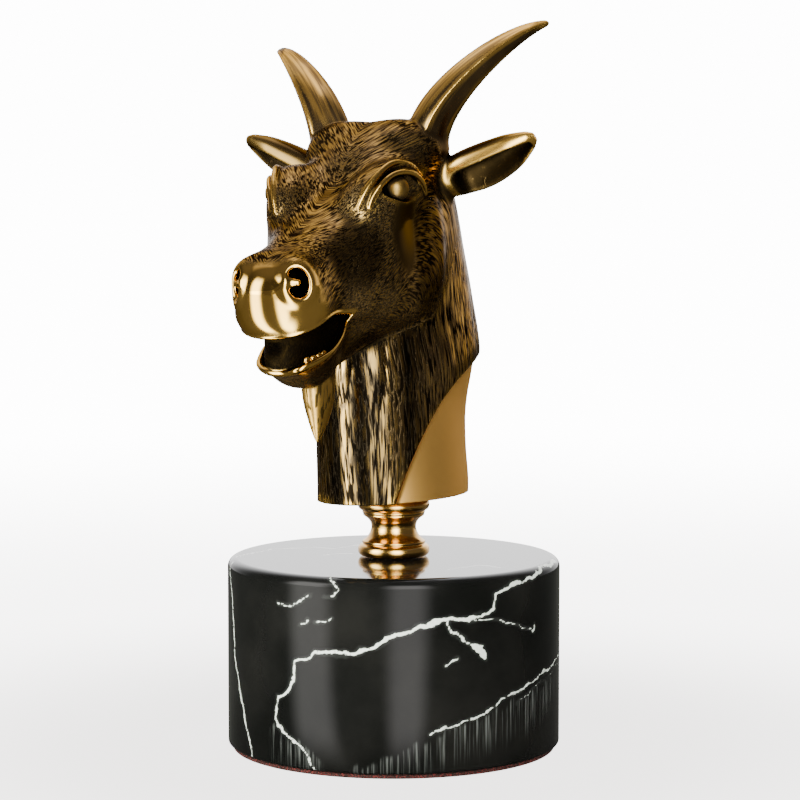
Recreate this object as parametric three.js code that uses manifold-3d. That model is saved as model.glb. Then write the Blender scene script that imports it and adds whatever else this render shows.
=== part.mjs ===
// Zodiac goat: a cast brass goat's head on a turned brass collar, a black marble drum and a felt pad.
// Millimetres, +Z up. The goat faces -Y, +X is its left, and the origin is the middle of the underside.
// The casting is one closed body. Its form is a signed distance, meshed on a grid and then thinned.
import * as THREE from "three";
import { mergeVertices } from "three/addons/utils/BufferGeometryUtils.js";
import Module from "manifold-3d";

const wasm = await Module();
wasm.setup();

// Base
const baseDiameter = 85;
const marbleHeight = 47.7;
const marbleRim = 2.4; // rounding of the top edge
const marbleFootRim = 0.8; // rounding of the bottom edge
const padThickness = 1;
const padInset = 1.2; // the felt stops short of the marble's edge
const seatGap = 0.3; // between pieces that rest on each other

// Collar
const collarHeight = 14.5;
const footBeadDiameter = 18.4;
const footBeadHeight = 2.9;
const footStepDiameter = 16.2;
const stepHeight = 0.9; // each of the two narrow steps beside the waist
const waistDiameter = 11.4;
const topStepDiameter = 15.8;
const topBeadDiameter = 18.3;
const topBeadHeight = 2.9;

// Goat
const goatHeight = 120; // neck's underside to the tip of the higher horn
const leanDegrees = 2.26; // the head leans to its right on the collar
const goatTriangles = 7200;

const drumSides = 72;
const collarSides = 32;

// Heights that follow from the sizes
const lean = THREE.MathUtils.degToRad(leanDegrees);
const marbleFoot = padThickness + seatGap;
const marbleTop = marbleFoot + marbleHeight;
const collarFoot = marbleTop + seatGap;
const collarTop = collarFoot + collarHeight;
const neckUnderside = collarTop + seatGap + Math.tan(lean) * topBeadDiameter / 2;

// The goat's proportions are given in parts, of which its height has 120.
const heightInParts = 120;
const part = goatHeight / heightInParts;

// Joins and cuts of signed distances, each with a fillet of size k

function join(a, b, k) {
  const h = Math.max(k - Math.abs(a - b), 0) / k;
  return Math.min(a, b) - (h * h * k) / 4;
}

function cut(a, b, k) {
  return -join(-a, b, k);
}

function overlap(a, b, k) {
  return -join(-a, -b, k);
}

// Forms: each returns the distance from a point to its skin, below zero inside.

// Turns the pair (a, b) by an angle in degrees.
function turned(a, b, degrees) {
  const angle = THREE.MathUtils.degToRad(degrees);
  const c = Math.cos(angle);
  const s = Math.sin(angle);
  return [a * c + b * s, b * c - a * s];
}

// Ellipsoid. Pitch lifts the back end of its y axis, yaw turns that end away from the middle.
function ball(p, centre, [a, b, c], pitch = 0, yaw = 0) {
  const [level, z] = turned(p[1] - centre[1], p[2] - centre[2], pitch);
  const [x, y] = turned(p[0] - centre[0], level, yaw);
  const reach = Math.hypot(x / a, y / b, z / c);
  const slope = Math.hypot(x / (a * a), y / (b * b), z / (c * c)) + 1e-6;
  return (reach * (reach - 1)) / slope;
}

// Form that is round in plan and squarer in height, for the muzzle.
function barrel(p, centre, [a, b, c], pitch, power) {
  const [y, z] = turned(p[1] - centre[1], p[2] - centre[2], pitch);
  const plan = Math.hypot((p[0] - centre[0]) / a, y / b);
  return (Math.pow(Math.pow(plan, power) + Math.pow(Math.abs(z / c), power), 1 / power) - 1) * Math.min(a, b, c);
}

// Rod with round ends whose radius goes from r0 to r1. Flat scales its width across the head.
function rod(p, start, end, r0, r1, flat = 1) {
  const ax = (p[0] - start[0]) / flat;
  const ay = p[1] - start[1];
  const az = p[2] - start[2];
  const bx = (end[0] - start[0]) / flat;
  const by = end[1] - start[1];
  const bz = end[2] - start[2];
  const along = (ax * bx + ay * by + az * bz) / (bx * bx + by * by + bz * bz);
  const t = THREE.MathUtils.clamp(along, 0, 1);
  return (Math.hypot(ax - t * bx, ay - t * by, az - t * bz) - (r0 + (r1 - r0) * t)) * Math.min(flat, 1);
}

// Rods end to end along a path, each stop being [x, y, z, radius].
function bead(p, stops) {
  let nearest = Infinity;
  for (let i = 1; i < stops.length; i += 1) {
    nearest = Math.min(nearest, rod(p, stops[i - 1], stops[i], stops[i - 1][3], stops[i][3]));
  }
  return nearest;
}

// Smooth line through stops of [place, value], level with its ends beyond them.
function profile(...stops) {
  const last = stops.length - 1;
  const slopes = stops.map((stop, i) => {
    const [before, after] = [stops[Math.max(i - 1, 0)], stops[Math.min(i + 1, last)]];
    return (after[1] - before[1]) / (after[0] - before[0]);
  });
  return (place) => {
    let i = 0;
    while (i < last - 1 && place > stops[i + 1][0]) i += 1;
    const width = stops[i + 1][0] - stops[i][0];
    const u = THREE.MathUtils.clamp((place - stops[i][0]) / width, 0, 1);
    const v = 1 - u;
    return stops[i][1] * (1 + 2 * u) * v * v + slopes[i] * width * u * v * v
      + stops[i + 1][1] * u * u * (3 - 2 * u) - slopes[i + 1] * width * u * u * v;
  };
}

// Neck: a smooth stump of ellipses over height, with hair standing proud of it in front and above.

const neckHalfWidth = profile([0, 17.4], [12, 16.8], [24, 16.6], [34, 17.4], [48, 16.4], [62, 15], [80, 12]);
const neckFront = profile([0, -22.5], [12, -22.5], [24, -23], [34, -24.2], [60, -20], [80, -10]);
const neckBack = profile([0, 25], [10, 25], [20, 27.5], [30, 33], [37, 35.5], [50, 32.5], [62, 29.5], [72, 26.8], [84, 19.5]);
const neckTop = 84;
const coatThickness = 1.6;
const bibTurn = -14.7; // the hair's bib is centred a little to the goat's right
const bibHalfAngle = 43.4;
const napeEdge = 37; // height of the hair's lower edge at the back
const locksRound = 17; // locks of hair round the neck
const lockDepth = 0.9;
const spare = 2.4; // how far the form runs on below the neck before it is cut off

function stump([x, y, z]) {
  const half = neckHalfWidth(z);
  const front = neckFront(z);
  const back = neckBack(z);
  const middle = y - (front + back) / 2;
  const deep = (back - front) / 2;
  const reach = Math.hypot(x / half, middle / deep);
  const slope = Math.hypot(x / (half * half), middle / (deep * deep)) + 1e-6;
  return Math.max((reach * (reach - 1)) / slope, z - neckTop);
}

// Angle round the neck in degrees, 0 in front.
function turnRoundNeck(x, y) {
  return THREE.MathUtils.radToDeg(Math.atan2(x / 17.5, (1.8 - y) / 23.2));
}

// Height of the hair's lower edge: below the neck in the bib, sweeping up to the nape behind it.
function hairEdge(turn) {
  const fromBib = Math.abs(THREE.MathUtils.euclideanModulo(turn - bibTurn + 180, 360) - 180) - bibHalfAngle;
  return fromBib < 0 ? -3 : napeEdge * (1 - Math.exp(-fromBib / 38));
}

// Locks run down the neck with a slow wave, each with a sharp valley on both sides.
function coat(p, skin) {
  const [x, y, z] = p;
  const turn = turnRoundNeck(x, y);
  const wave = 5 * Math.sin(z / 9 + turn / 40);
  const lock = Math.abs(Math.sin(THREE.MathUtils.degToRad((turn + wave) * locksRound) / 2));
  const fade = THREE.MathUtils.smoothstep(62 - z, 0, 25);
  const hair = skin - coatThickness + lockDepth * fade * Math.pow(1 - lock, 2);
  return overlap(hair, (hairEdge(turn) - z) * 0.6, 1);
}

// Head: skull, face and jaw, mirrored but for the horns

const faceTop = profile([-72, 62], [-64, 63.6], [-55, 67], [-45, 71.2], [-38, 75], [-30, 79], [-18, 87], [-8, 92]);
const faceLow = profile([-72, 46], [-60, 45], [-48, 45], [-30, 44], [-8, 44]);
const faceHalf = profile(
  [-72, 8.6], [-64, 9.6], [-56, 10.4], [-50, 11.6], [-44, 14], [-38, 16], [-30, 17.3], [-8, 17.3]);
const faceTaper = profile([-60, 0.1], [-45, 0.05], [-30, 0.12], [-8, 0.2]); // narrowing towards the top
const faceSquareness = 2.9;

// Face from brow to muzzle: rounded square sections that follow the profile of the nose.
function face([x, y, z]) {
  const top = faceTop(y);
  const low = faceLow(y);
  const half = faceHalf(y);
  const deep = (top - low) / 2;
  const v = (z - (top + low) / 2) / deep;
  const u = Math.abs(x) / (half * (1 - faceTaper(y) * THREE.MathUtils.clamp(v, -1, 1)));
  const reach = Math.pow(Math.pow(u, faceSquareness) + Math.pow(Math.abs(v), faceSquareness), 1 / faceSquareness);
  return overlap((reach - 1) * Math.min(half, deep) * 0.95, Math.max(-66 - y, y + 8), 4);
}

function jaw(p) {
  const bone = rod(p, [0, -10, 55], [0, -52, 38.6], 12, 6.4, 1.15);
  const lip = ball(p, [0, -55, 38.6], [9.4, 12, 5.4], 6);
  const chin = ball(p, [0, -51, 35.5], [6.2, 7, 4.6]);
  return join(join(bone, lip, 3), chin, 3);
}

// Closed form of the head. The point m is the point p folded onto the goat's left half.
function headForm(p, m) {
  let d = join(ball(p, [0, 0, 75.5], [16.5, 24, 19.5]), face(p), 6);
  d = join(d, ball(m, [13.2, -22, 77.5], [6, 13, 7], 8, -8), 4); // temple
  d = join(d, ball(m, [14.2, -29.5, 80.2], [5.2, 9, 4.6], 22, -28), 4); // brow
  d = join(d, ball(m, [12.6, -31, 70], [5.4, 8, 9], 20, -28), 4); // bone under the eye
  d = join(d, ball(m, [9, -4, 87.5], [9, 9, 7.5]), 5); // mound at the horn's root
  d = join(d, barrel(p, [0, -61.5, 54.3], [10.3, 11.6, 10], 6, 3.2), 3); // muzzle
  d = join(d, jaw(p), 3);
  return join(d, ball(m, [9.8, -10, 60.5], [8.2, 25, 14], 12), 7); // cheek
}

const upperLip = profile([-78, 45], [-66, 44.4], [-56, 45.6], [-48, 47.3], [-44, 47.5]);
const lowerLip = profile([-78, 36], [-68, 35.6], [-60, 36.6], [-52, 39.6], [-48, 43], [-44, 46]);
const mouthCorner = -47.5;

// Parted lips: a wedge cut in from the skin on both sides and in front of the palate and tongue.
function cutMouth(d, p) {
  const [x, y, z] = p;
  const gap = Math.max(z - upperLip(y), lowerLip(y) + 0.03 * x * x - z);
  const wedge = overlap(gap, y - mouthCorner, 3);
  const palate = ball(p, [0, -46, 42], [5.5, 16, 14]);
  return cut(d, overlap(wedge, -palate, 1.5), 0.8);
}

function addNostril(d, m) {
  const raised = join(d, ball(m, [6.4, -65.3, 58], [4.2, 5.4, 5.4], 20, 25), 2.5);
  const open = cut(raised, ball(m, [7.4, -68.6, 57.2], [2.5, 5.2, 4.2], 20, 35), 0.8);
  return join(open, ball(m, [5.4, -69, 56.3], [2, 3.2, 1.9], 20, 35), 0.8);
}

// Lids, each stop being [x, y, z, radius]
const upperLid = [
  [13.4, -38.2, 74.4, 0.8], [15, -37, 77.2, 1.1], [16.6, -35, 80, 1.2], [18.4, -31.2, 82, 1.2],
  [19.8, -27, 82.3, 1.2], [20.4, -22.5, 81, 1.2], [20.2, -18.5, 78, 1], [19.4, -16.5, 76, 0.8],
];
const lowerLid = [
  [14, -37.6, 74, 0.8], [16.4, -35.2, 74.2, 0.9], [18.1, -31.5, 74, 1],
  [19.4, -26.5, 73.9, 1], [19.7, -21, 74.9, 0.9], [19.4, -16.5, 76, 0.8],
];

function addEye(d, m) {
  const socket = cut(d, ball(m, [19.8, -28, 77.8], [3.2, 9.8, 4], 5, -20), 0.8);
  const eye = join(socket, ball(m, [14.6, -29, 78.2], [5, 5, 5]), 0.5);
  return join(eye, Math.min(bead(m, upperLid), bead(m, lowerLid)), 0.9);
}

// Beard of three locks under the chin
const beardLocks = [
  { root: [0, -43.5, 33], tip: [0.3, -44, 18.6], radius: 5.2, flat: 0.62 },
  { root: [1.2, -39.5, 33], tip: [0.8, -41, 22], radius: 4.6, flat: 0.66 },
  { root: [-1, -46.5, 33], tip: [-0.6, -46, 24], radius: 4, flat: 0.66 },
];

function beard(p) {
  return beardLocks.reduce((d, lock) => join(d, rod(p, lock.root, lock.tip, lock.radius, 0.8, lock.flat), 0.8), 1e3);
}

// Ear: a pointed leaf, cupped forwards and down
const earRoot = new THREE.Vector3(15.5, 2, 79.5);
const earTip = new THREE.Vector3(40, 4.5, 89.8);
const earLength = earRoot.distanceTo(earTip);
const earAlong = earTip.clone().sub(earRoot).normalize();
const earFacing = new THREE.Vector3(0.12, -0.72, -0.7).projectOnPlane(earAlong).normalize();
const earAcross = new THREE.Vector3().crossVectors(earFacing, earAlong);
const earHalfWidth = profile([0, 5.6], [0.35, 7.2], [0.7, 6.2], [0.93, 3.4], [1, 1.6]);
const earSag = 1.5;
const earWall = 1.7;

function ear(m) {
  const from = new THREE.Vector3(...m).sub(earRoot);
  const along = from.dot(earAlong);
  const share = THREE.MathUtils.clamp(along / earLength, 0, 1);
  const across = from.dot(earAcross) + Math.sign(earAcross.z) * earSag * Math.sin(Math.PI * share);
  const out = from.dot(earFacing);
  const half = earHalfWidth(share);
  const leaf = (Math.hypot(across / half, out / (0.7 * half)) - 1) * 0.7 * half;
  const inner = half - earWall;
  const hollow = (Math.hypot(across / Math.max(inner, 0.3), (out - 0.65 * half) / (0.95 * half)) - 1) * inner;
  const inside = overlap(overlap(hollow, 4 - along, 3), along - earLength + 2, 1);
  return cut(Math.max(leaf, along - earLength, -along - 3), inside, 1);
}

// Horns: a tapering sabre with a keel along its front. The goat's right horn is a little lower.
const hornStops = [[13.5, -3, 88], [13.1, -3.9, 99.1], [30, 11.2, 116.7], [37.9, 21.7, 119.2]];
const rightHornDrop = [0, 0, 1.7, 2.9];
const hornRadius = 6.66;
const hornTipRadius = 0.93;
const hornSteps = 14;
const keelDirection = new THREE.Vector3(0.25, -1, -0.1);
const keelAngle = THREE.MathUtils.degToRad(42);
const keelHeight = 1.12;

function hornCurve(drops) {
  return new THREE.CubicBezierCurve3(...hornStops.map(([x, y, z], i) => new THREE.Vector3(x, y, z - drops[i])));
}

// Spine of one horn as short straight stretches, each with its own axes.
function hornSpine(drops) {
  const line = hornCurve(drops).getPoints(hornSteps);
  return line.slice(1).map((end, i) => {
    const start = line[i];
    const along = end.clone().sub(start);
    const keel = keelDirection.clone().projectOnPlane(along.clone().normalize()).normalize();
    const side = new THREE.Vector3().crossVectors(along, keel).normalize();
    return { start, along, length: along.length(), keel, side, share: i / hornSteps };
  });
}

function horn([x, y, z], spine) {
  const point = new THREE.Vector3(x, y, z);
  let best = null;
  for (const piece of spine) {
    const from = point.clone().sub(piece.start);
    const t = THREE.MathUtils.clamp(from.dot(piece.along) / piece.along.lengthSq(), 0, 1);
    const off = from.addScaledVector(piece.along, -t);
    const far = off.length();
    if (!best || far < best.far) best = { far, off, piece, share: piece.share + t / hornSteps };
  }
  const radius = hornRadius * (1 - Math.pow(best.share, 1.18)) + hornTipRadius * best.share;
  const front = best.off.dot(best.piece.keel);
  const side = Math.abs(best.off.dot(best.piece.side));
  const end = Math.abs(best.off.dot(best.piece.along)) / best.piece.length;
  const wedge = side * Math.cos(keelAngle) + (front - keelHeight * radius) * Math.sin(keelAngle);
  return Math.max(overlap(Math.hypot(front, side, end) - 1.04 * radius, wedge, 0.5), end - 0.9);
}

const spines = { left: hornSpine([0, 0, 0, 0]), right: hornSpine(rightHornDrop) };

// The whole casting, running on below the neck. Each feature is worked out only in its own part of the head.
function goat(p) {
  const [x, y, z] = p;
  const m = [Math.sqrt(x * x + 0.6), y, z];
  const skin = stump(p);
  let d = headForm(p, m);
  if (y < -30) d = addNostril(cutMouth(d, p), m);
  d = join(d, skin, 3);
  if (z < neckTop + 3) d = join(d, coat(p, skin), 2);
  if (z > 64 && y < 0) d = addEye(d, m);
  if (z < 50 && y < 0) d = join(d, beard(p), 2);
  if (z > 60 && m[0] > 8) d = join(d, ear([Math.abs(x), y, z]), 2);
  if (z > 76) d = join(d, x > 0 ? horn(p, spines.left) : horn([-x, y, z], spines.right), 1);
  return Math.max(d, -spare - z);
}

// Meshing: the zero of a distance on a grid, each cube cut into six tetrahedra round its long diagonal.
// Cubes on the goat's right are mirrored, so that both halves are meshed alike.

const cell = 1.2;
const reach = { low: [-38 * cell, -76, -3.6], high: [38 * cell, 40, 122] }; // box round the goat, in parts
const blockCells = 6;

// The six walks along the cube's edges from its low to its high corner, turned so that each is right-handed.
const walks = [[0, 1, 2], [1, 2, 0], [2, 0, 1], [0, 2, 1], [2, 1, 0], [1, 0, 2]].map((axes, i) => {
  const corners = [[0, 0, 0]];
  for (const axis of axes) corners.push(corners.at(-1).map((value, j) => value + (j === axis ? 1 : 0)));
  return i < 3 ? corners : [corners[0], corners[2], corners[1], corners[3]];
});

// Right-handed order of a tetrahedron's corners for each set of corners that lies inside.
const orders = {
  1: [0, 1, 2, 3], 2: [1, 0, 3, 2], 4: [2, 0, 1, 3], 8: [3, 0, 2, 1],
  3: [0, 1, 2, 3], 5: [0, 2, 3, 1], 9: [0, 3, 1, 2], 6: [1, 2, 0, 3], 10: [1, 3, 2, 0], 12: [2, 3, 0, 1],
};

function surface(distance) {
  const counts = reach.low.map((low, i) => Math.ceil((reach.high[i] - low) / cell) + 1);
  const at = (i, j, k) => [reach.low[0] + i * cell, reach.low[1] + j * cell, reach.low[2] + k * cell];
  const number = (i, j, k) => (k * counts[1] + j) * counts[0] + i;
  const values = new Map();
  const points = [];
  const corners = new Map();
  const triangles = [];

  function value(i, j, k) {
    const key = number(i, j, k);
    if (!values.has(key)) values.set(key, distance(at(i, j, k)) || 1e-6);
    return values.get(key);
  }

  // Point where the skin crosses the edge between two grid points.
  function crossing(a, b) {
    const [low, high] = a.key < b.key ? [a, b] : [b, a];
    const key = high.place.reduce((sum, v, n) => sum * 3 + v - low.place[n] + 1, low.key);
    if (!corners.has(key)) {
      const t = THREE.MathUtils.clamp(low.value / (low.value - high.value), 0.04, 0.96);
      const [p, q] = [at(...low.place), at(...high.place)];
      corners.set(key, points.length);
      points.push(p.map((v, i) => v + (q[i] - v) * t));
    }
    return corners.get(key);
  }

  function cube(i, j, k) {
    const mirrored = at(i, j, k)[0] < -cell / 2;
    for (const walk of walks) {
      const tetra = walk.map(([a, b, c]) => {
        const place = [i + (mirrored ? 1 - a : a), j + b, k + c];
        return { place, key: number(...place), value: value(...place) };
      });
      const inside = tetra.reduce((bits, corner, n) => bits + (corner.value < 0 ? 1 << n : 0), 0);
      if (inside === 0 || inside === 15) continue;
      const single = orders[inside] && !(inside & (inside - 1));
      const flipped = !orders[inside];
      const [a, b, c, d] = (orders[inside] || orders[15 - inside]).map((n) => tetra[n]);
      const faces = [];
      if (single || flipped) {
        const face = [crossing(a, b), crossing(a, c), crossing(a, d)];
        faces.push(flipped ? face.reverse() : face);
      } else {
        const [p, q, r, s] = [crossing(a, c), crossing(a, d), crossing(b, d), crossing(b, c)];
        faces.push([p, q, r], [p, r, s]);
      }
      triangles.push(...faces.map((face) => (mirrored ? face.reverse() : face)));
    }
  }

  // Blocks of cubes whose middle is far from the skin are skipped.
  const far = blockCells * cell * 1.6;
  for (let k = 0; k < counts[2] - 1; k += blockCells) {
    for (let j = 0; j < counts[1] - 1; j += blockCells) {
      for (let i = 0; i < counts[0] - 1; i += blockCells) {
        const middle = at(i + blockCells / 2, j + blockCells / 2, k + blockCells / 2);
        if (Math.abs(distance(middle)) > far) continue;
        for (let n = 0; n < blockCells ** 3; n += 1) {
          const [di, dj, dk] = [n % blockCells, Math.floor(n / blockCells) % blockCells, Math.floor(n / blockCells ** 2)];
          if (i + di < counts[0] - 1 && j + dj < counts[1] - 1 && k + dk < counts[2] - 1) cube(i + di, j + dj, k + dk);
        }
      }
    }
  }
  return { points, triangles };
}

// Thinning: edges are drawn together in order of how little that moves the skin, until few enough are left.

// Squared distance to a plane as the ten numbers of a symmetric matrix.
function planeError([a, b, c], d, weight) {
  return [a * a, a * b, a * c, a * d, b * b, b * c, b * d, c * c, c * d, d * d].map((v) => v * weight);
}

function errorAt(q, [x, y, z]) {
  return q[0] * x * x + 2 * q[1] * x * y + 2 * q[2] * x * z + 2 * q[3] * x + q[4] * y * y
    + 2 * q[5] * y * z + 2 * q[6] * y + q[7] * z * z + 2 * q[8] * z + q[9];
}

function normalOf(p, q, r) {
  const [ux, uy, uz] = [q[0] - p[0], q[1] - p[1], q[2] - p[2]];
  const [vx, vy, vz] = [r[0] - p[0], r[1] - p[1], r[2] - p[2]];
  return [uy * vz - uz * vy, uz * vx - ux * vz, ux * vy - uy * vx];
}

// How far a triangle is from a sliver: twice its area over its longest side squared.
function fullness(corners, doubleArea) {
  let longest = 0;
  for (let k = 0; k < 3; k += 1) {
    const [p, q] = [corners[k], corners[(k + 1) % 3]];
    longest = Math.max(longest, (p[0] - q[0]) ** 2 + (p[1] - q[1]) ** 2 + (p[2] - q[2]) ** 2);
  }
  return doubleArea / (longest + 1e-12);
}

// Point of least error near an edge, or its best end or middle where the error has no single lowest point.
function bestPoint(q, p, r) {
  const middle = p.map((v, i) => (v + r[i]) / 2);
  const m = new THREE.Matrix3().set(q[0], q[1], q[2], q[1], q[4], q[5], q[2], q[5], q[7]);
  const span = Math.hypot(p[0] - r[0], p[1] - r[1], p[2] - r[2]);
  const choices = [middle, p, r];
  if (Math.abs(m.determinant()) > 1e-4) {
    const v = new THREE.Vector3(-q[3], -q[6], -q[8]).applyMatrix3(m.invert());
    if (v.distanceTo(new THREE.Vector3(...middle)) < span) return v.toArray();
  }
  return choices.reduce((best, v) => (errorAt(q, v) < errorAt(q, best) ? v : best));
}

// Smallest-first queue of edges.
class Queue {
  items = [];

  push(item) {
    const list = this.items;
    let i = list.push(item) - 1;
    while (i > 0) {
      const up = (i - 1) >> 1;
      if (list[up].cost <= item.cost) break;
      list[i] = list[up];
      i = up;
    }
    list[i] = item;
  }

  pop() {
    const list = this.items;
    const top = list[0];
    const item = list.pop();
    if (list.length === 0) return top;
    let i = 0;
    for (;;) {
      let down = 2 * i + 1;
      if (down >= list.length) break;
      if (down + 1 < list.length && list[down + 1].cost < list[down].cost) down += 1;
      if (item.cost <= list[down].cost) break;
      list[i] = list[down];
      i = down;
    }
    list[i] = item;
    return top;
  }
}

const evenness = 6e-4; // a light pull that keeps flat areas evenly meshed
const leastFullness = 0.12;
const leastArea = 0.02 * cell * cell; // smaller faces have no sure direction

function thinned({ points, triangles }, target) {
  const errors = points.map(() => new Array(10).fill(0));
  const faces = points.map(() => new Set());
  const stamp = new Int32Array(points.length);
  const waiting = points.map(() => new Set()); // edges that could not be drawn together yet
  let left = triangles.length;

  triangles.forEach((face, n) => {
    const normal = normalOf(...face.map((i) => points[i]));
    const area = Math.hypot(...normal) || 1e-9;
    const unit = normal.map((v) => v / area);
    const p = points[face[0]];
    const q = planeError(unit, -(unit[0] * p[0] + unit[1] * p[1] + unit[2] * p[2]), area);
    for (const i of face) {
      faces[i].add(n);
      errors[i] = errors[i].map((v, k) => v + q[k]);
    }
  });

  function neighbours(i) {
    const ring = new Set();
    for (const n of faces[i]) for (const j of triangles[n]) ring.add(j);
    ring.delete(i);
    return ring;
  }

  const queue = new Queue();
  function consider(i, j) {
    const q = errors[i].map((v, k) => v + errors[j][k]);
    const place = bestPoint(q, points[i], points[j]);
    const span = Math.hypot(...points[i].map((v, k) => v - points[j][k]));
    queue.push({ cost: errorAt(q, place) + evenness * span * span, i, j, place, q, ages: [stamp[i], stamp[j]], queued: true });
  }

  // No face round the edge may turn over, or become more of a sliver, when its corner moves to the new place.
  function keepsFaces(i, other, place) {
    for (const n of faces[i]) {
      const face = triangles[n];
      if (face.includes(other)) continue;
      const old = face.map((k) => points[k]);
      const moved = face.map((k) => (k === i ? place : points[k]));
      const [before, after] = [normalOf(...old), normalOf(...moved)];
      const [a, b] = [Math.hypot(...before), Math.hypot(...after)];
      if (fullness(moved, b) < Math.min(leastFullness, 0.9 * fullness(old, a))) return false;
      const turn = before[0] * after[0] + before[1] * after[1] + before[2] * after[2];
      if (a > leastArea && turn < 0.3 * a * b) return false;
    }
    return true;
  }

  points.forEach((_, i) => neighbours(i).forEach((j) => i < j && consider(i, j)));
  while (left > target && queue.items.length > 0) {
    const edge = queue.pop();
    const { i, j, place, q, ages } = edge;
    edge.queued = false;
    if (ages[0] !== stamp[i] || ages[1] !== stamp[j] || faces[i].size === 0 || faces[j].size === 0) continue;
    const around = neighbours(i);
    const shared = [...neighbours(j)].filter((k) => around.has(k));
    if (!around.has(j) || shared.length !== 2 || !keepsFaces(i, j, place) || !keepsFaces(j, i, place)) {
      waiting[i].add(edge);
      waiting[j].add(edge);
      continue;
    }
    for (const n of [...faces[j]]) {
      if (triangles[n].includes(i)) {
        for (const k of triangles[n]) faces[k].delete(n);
        triangles[n] = null;
        left -= 1;
      } else {
        triangles[n] = triangles[n].map((k) => (k === j ? i : k));
        faces[i].add(n);
      }
    }
    faces[j].clear();
    points[i] = place;
    errors[i] = q;
    stamp[i] += 1;
    waiting[i].clear();
    for (const k of neighbours(i)) {
      consider(i, k);
      for (const item of waiting[k]) {
        if (!item.queued && item.ages[0] === stamp[item.i] && item.ages[1] === stamp[item.j]) queue.push(item);
        item.queued = true;
      }
      waiting[k].clear();
    }
  }
  return { points, triangles: triangles.filter(Boolean) };
}

// Pieces

function solid(points, triangles) {
  return new wasm.Manifold(new wasm.Mesh({
    numProp: 3, vertProperties: new Float32Array(points), triVerts: new Uint32Array(triangles),
  }));
}

// The casting's mesh, cut off flat at the neck's underside.
function cutFlat({ points, triangles }) {
  const width = 2 * reach.high[0];
  const slab = new THREE.BoxGeometry(width, width * 2, width).translate(0, 0, -width / 2);
  slab.deleteAttribute("normal");
  slab.deleteAttribute("uv");
  const block = mergeVertices(slab);
  const below = solid(block.attributes.position.array, block.index.array);
  const kept = solid(points.flat(), triangles.flat()).subtract(below).getMesh();
  return {
    points: Array.from({ length: kept.numVert }, (_, i) => Array.from(kept.vertProperties.subarray(3 * i, 3 * i + 3))),
    triangles: Array.from({ length: kept.numTri }, (_, i) => Array.from(kept.triVerts.subarray(3 * i, 3 * i + 3))),
  };
}

function goatGeometry() {
  const { points, triangles } = thinned(cutFlat(surface(goat)), goatTriangles);
  const geometry = new THREE.BufferGeometry();
  geometry.setAttribute("position", new THREE.Float32BufferAttribute(points.flat(), 3));
  geometry.setIndex(triangles.flat());
  const loose = geometry.toNonIndexed().scale(part, part, part);
  loose.computeVertexNormals();
  return loose;
}

// Turned solid: the outline runs up from the axis and back to it.
function turnedSolid(outline, sides) {
  const points = outline.map(([radius, height]) => new THREE.Vector2(radius, height));
  return new THREE.LatheGeometry(points, sides).rotateX(Math.PI / 2);
}

// Quarter round between two directions, from one angle to another in degrees.
function arc(radius, height, size, from, to, steps) {
  return Array.from({ length: steps + 1 }, (_, i) => {
    const angle = THREE.MathUtils.degToRad(from + ((to - from) * i) / steps);
    return [radius + size * Math.cos(angle), height + size * Math.sin(angle)];
  });
}

function marbleGeometry() {
  const radius = baseDiameter / 2;
  return turnedSolid([
    [0, marbleFoot],
    ...arc(radius - marbleFootRim, marbleFoot + marbleFootRim, marbleFootRim, -90, 0, 2),
    ...arc(radius - marbleRim, marbleTop - marbleRim, marbleRim, 0, 90, 4),
    [0, marbleTop],
  ], drumSides);
}

function padGeometry() {
  const radius = baseDiameter / 2 - padInset;
  return turnedSolid([[0, 0], [radius, 0], [radius, padThickness], [0, padThickness]], drumSides);
}

// Half-round bead that swells from its two flat ends by a fifth of its height.
function beadOutline(diameter, foot, height, steps) {
  return Array.from({ length: steps + 1 }, (_, i) => {
    const share = i / steps;
    return [diameter / 2 - height * 0.2 * (2 * share - 1) ** 2, foot + height * share];
  });
}

// Hollow sweep between two steps, narrowest a little above its middle.
function waistOutline(foot, top, steps) {
  return Array.from({ length: steps + 1 }, (_, i) => {
    const share = i / steps;
    const edge = THREE.MathUtils.lerp(footStepDiameter, topStepDiameter, share) / 2;
    const depth = Math.pow(Math.sin(Math.PI * share), 0.8);
    return [THREE.MathUtils.lerp(edge, waistDiameter / 2, depth), THREE.MathUtils.lerp(foot, top, share)];
  });
}

function collarGeometry() {
  const waistFoot = collarFoot + footBeadHeight + stepHeight;
  const waistTop = collarTop - topBeadHeight - stepHeight;
  return turnedSolid([
    [0, collarFoot],
    ...beadOutline(footBeadDiameter, collarFoot, footBeadHeight, 4),
    [footStepDiameter / 2, collarFoot + footBeadHeight],
    ...waistOutline(waistFoot, waistTop, 6),
    [topStepDiameter / 2, waistTop + stepHeight],
    ...beadOutline(topBeadDiameter, collarTop - topBeadHeight, topBeadHeight, 4),
    [0, collarTop],
  ], collarSides);
}

// Finishes

const castBrass = new THREE.MeshStandardMaterial({ color: 0x8a6a35, roughness: 0.35, metalness: 1 });
const turnedBrass = new THREE.MeshStandardMaterial({ color: 0xb08a4a, roughness: 0.25, metalness: 1 });
const blackMarble = new THREE.MeshStandardMaterial({ color: 0x0b0b0d, roughness: 0.08, metalness: 0 });
const darkFelt = new THREE.MeshStandardMaterial({ color: 0x3a1210, roughness: 0.95, metalness: 0 });

function named(name, geometry, material) {
  const mesh = new THREE.Mesh(geometry, material);
  mesh.name = name;
  return mesh;
}

const leaning = new THREE.Group();
leaning.position.z = neckUnderside;
leaning.rotation.y = -lean;
leaning.add(named("goat_head", goatGeometry(), castBrass));

const figure = new THREE.Group();
figure.add(
  named("felt_pad", padGeometry(), darkFelt),
  named("marble_base", marbleGeometry(), blackMarble),
  named("collar", collarGeometry(), turnedBrass),
  leaning,
);

export default figure;
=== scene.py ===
import math

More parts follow.
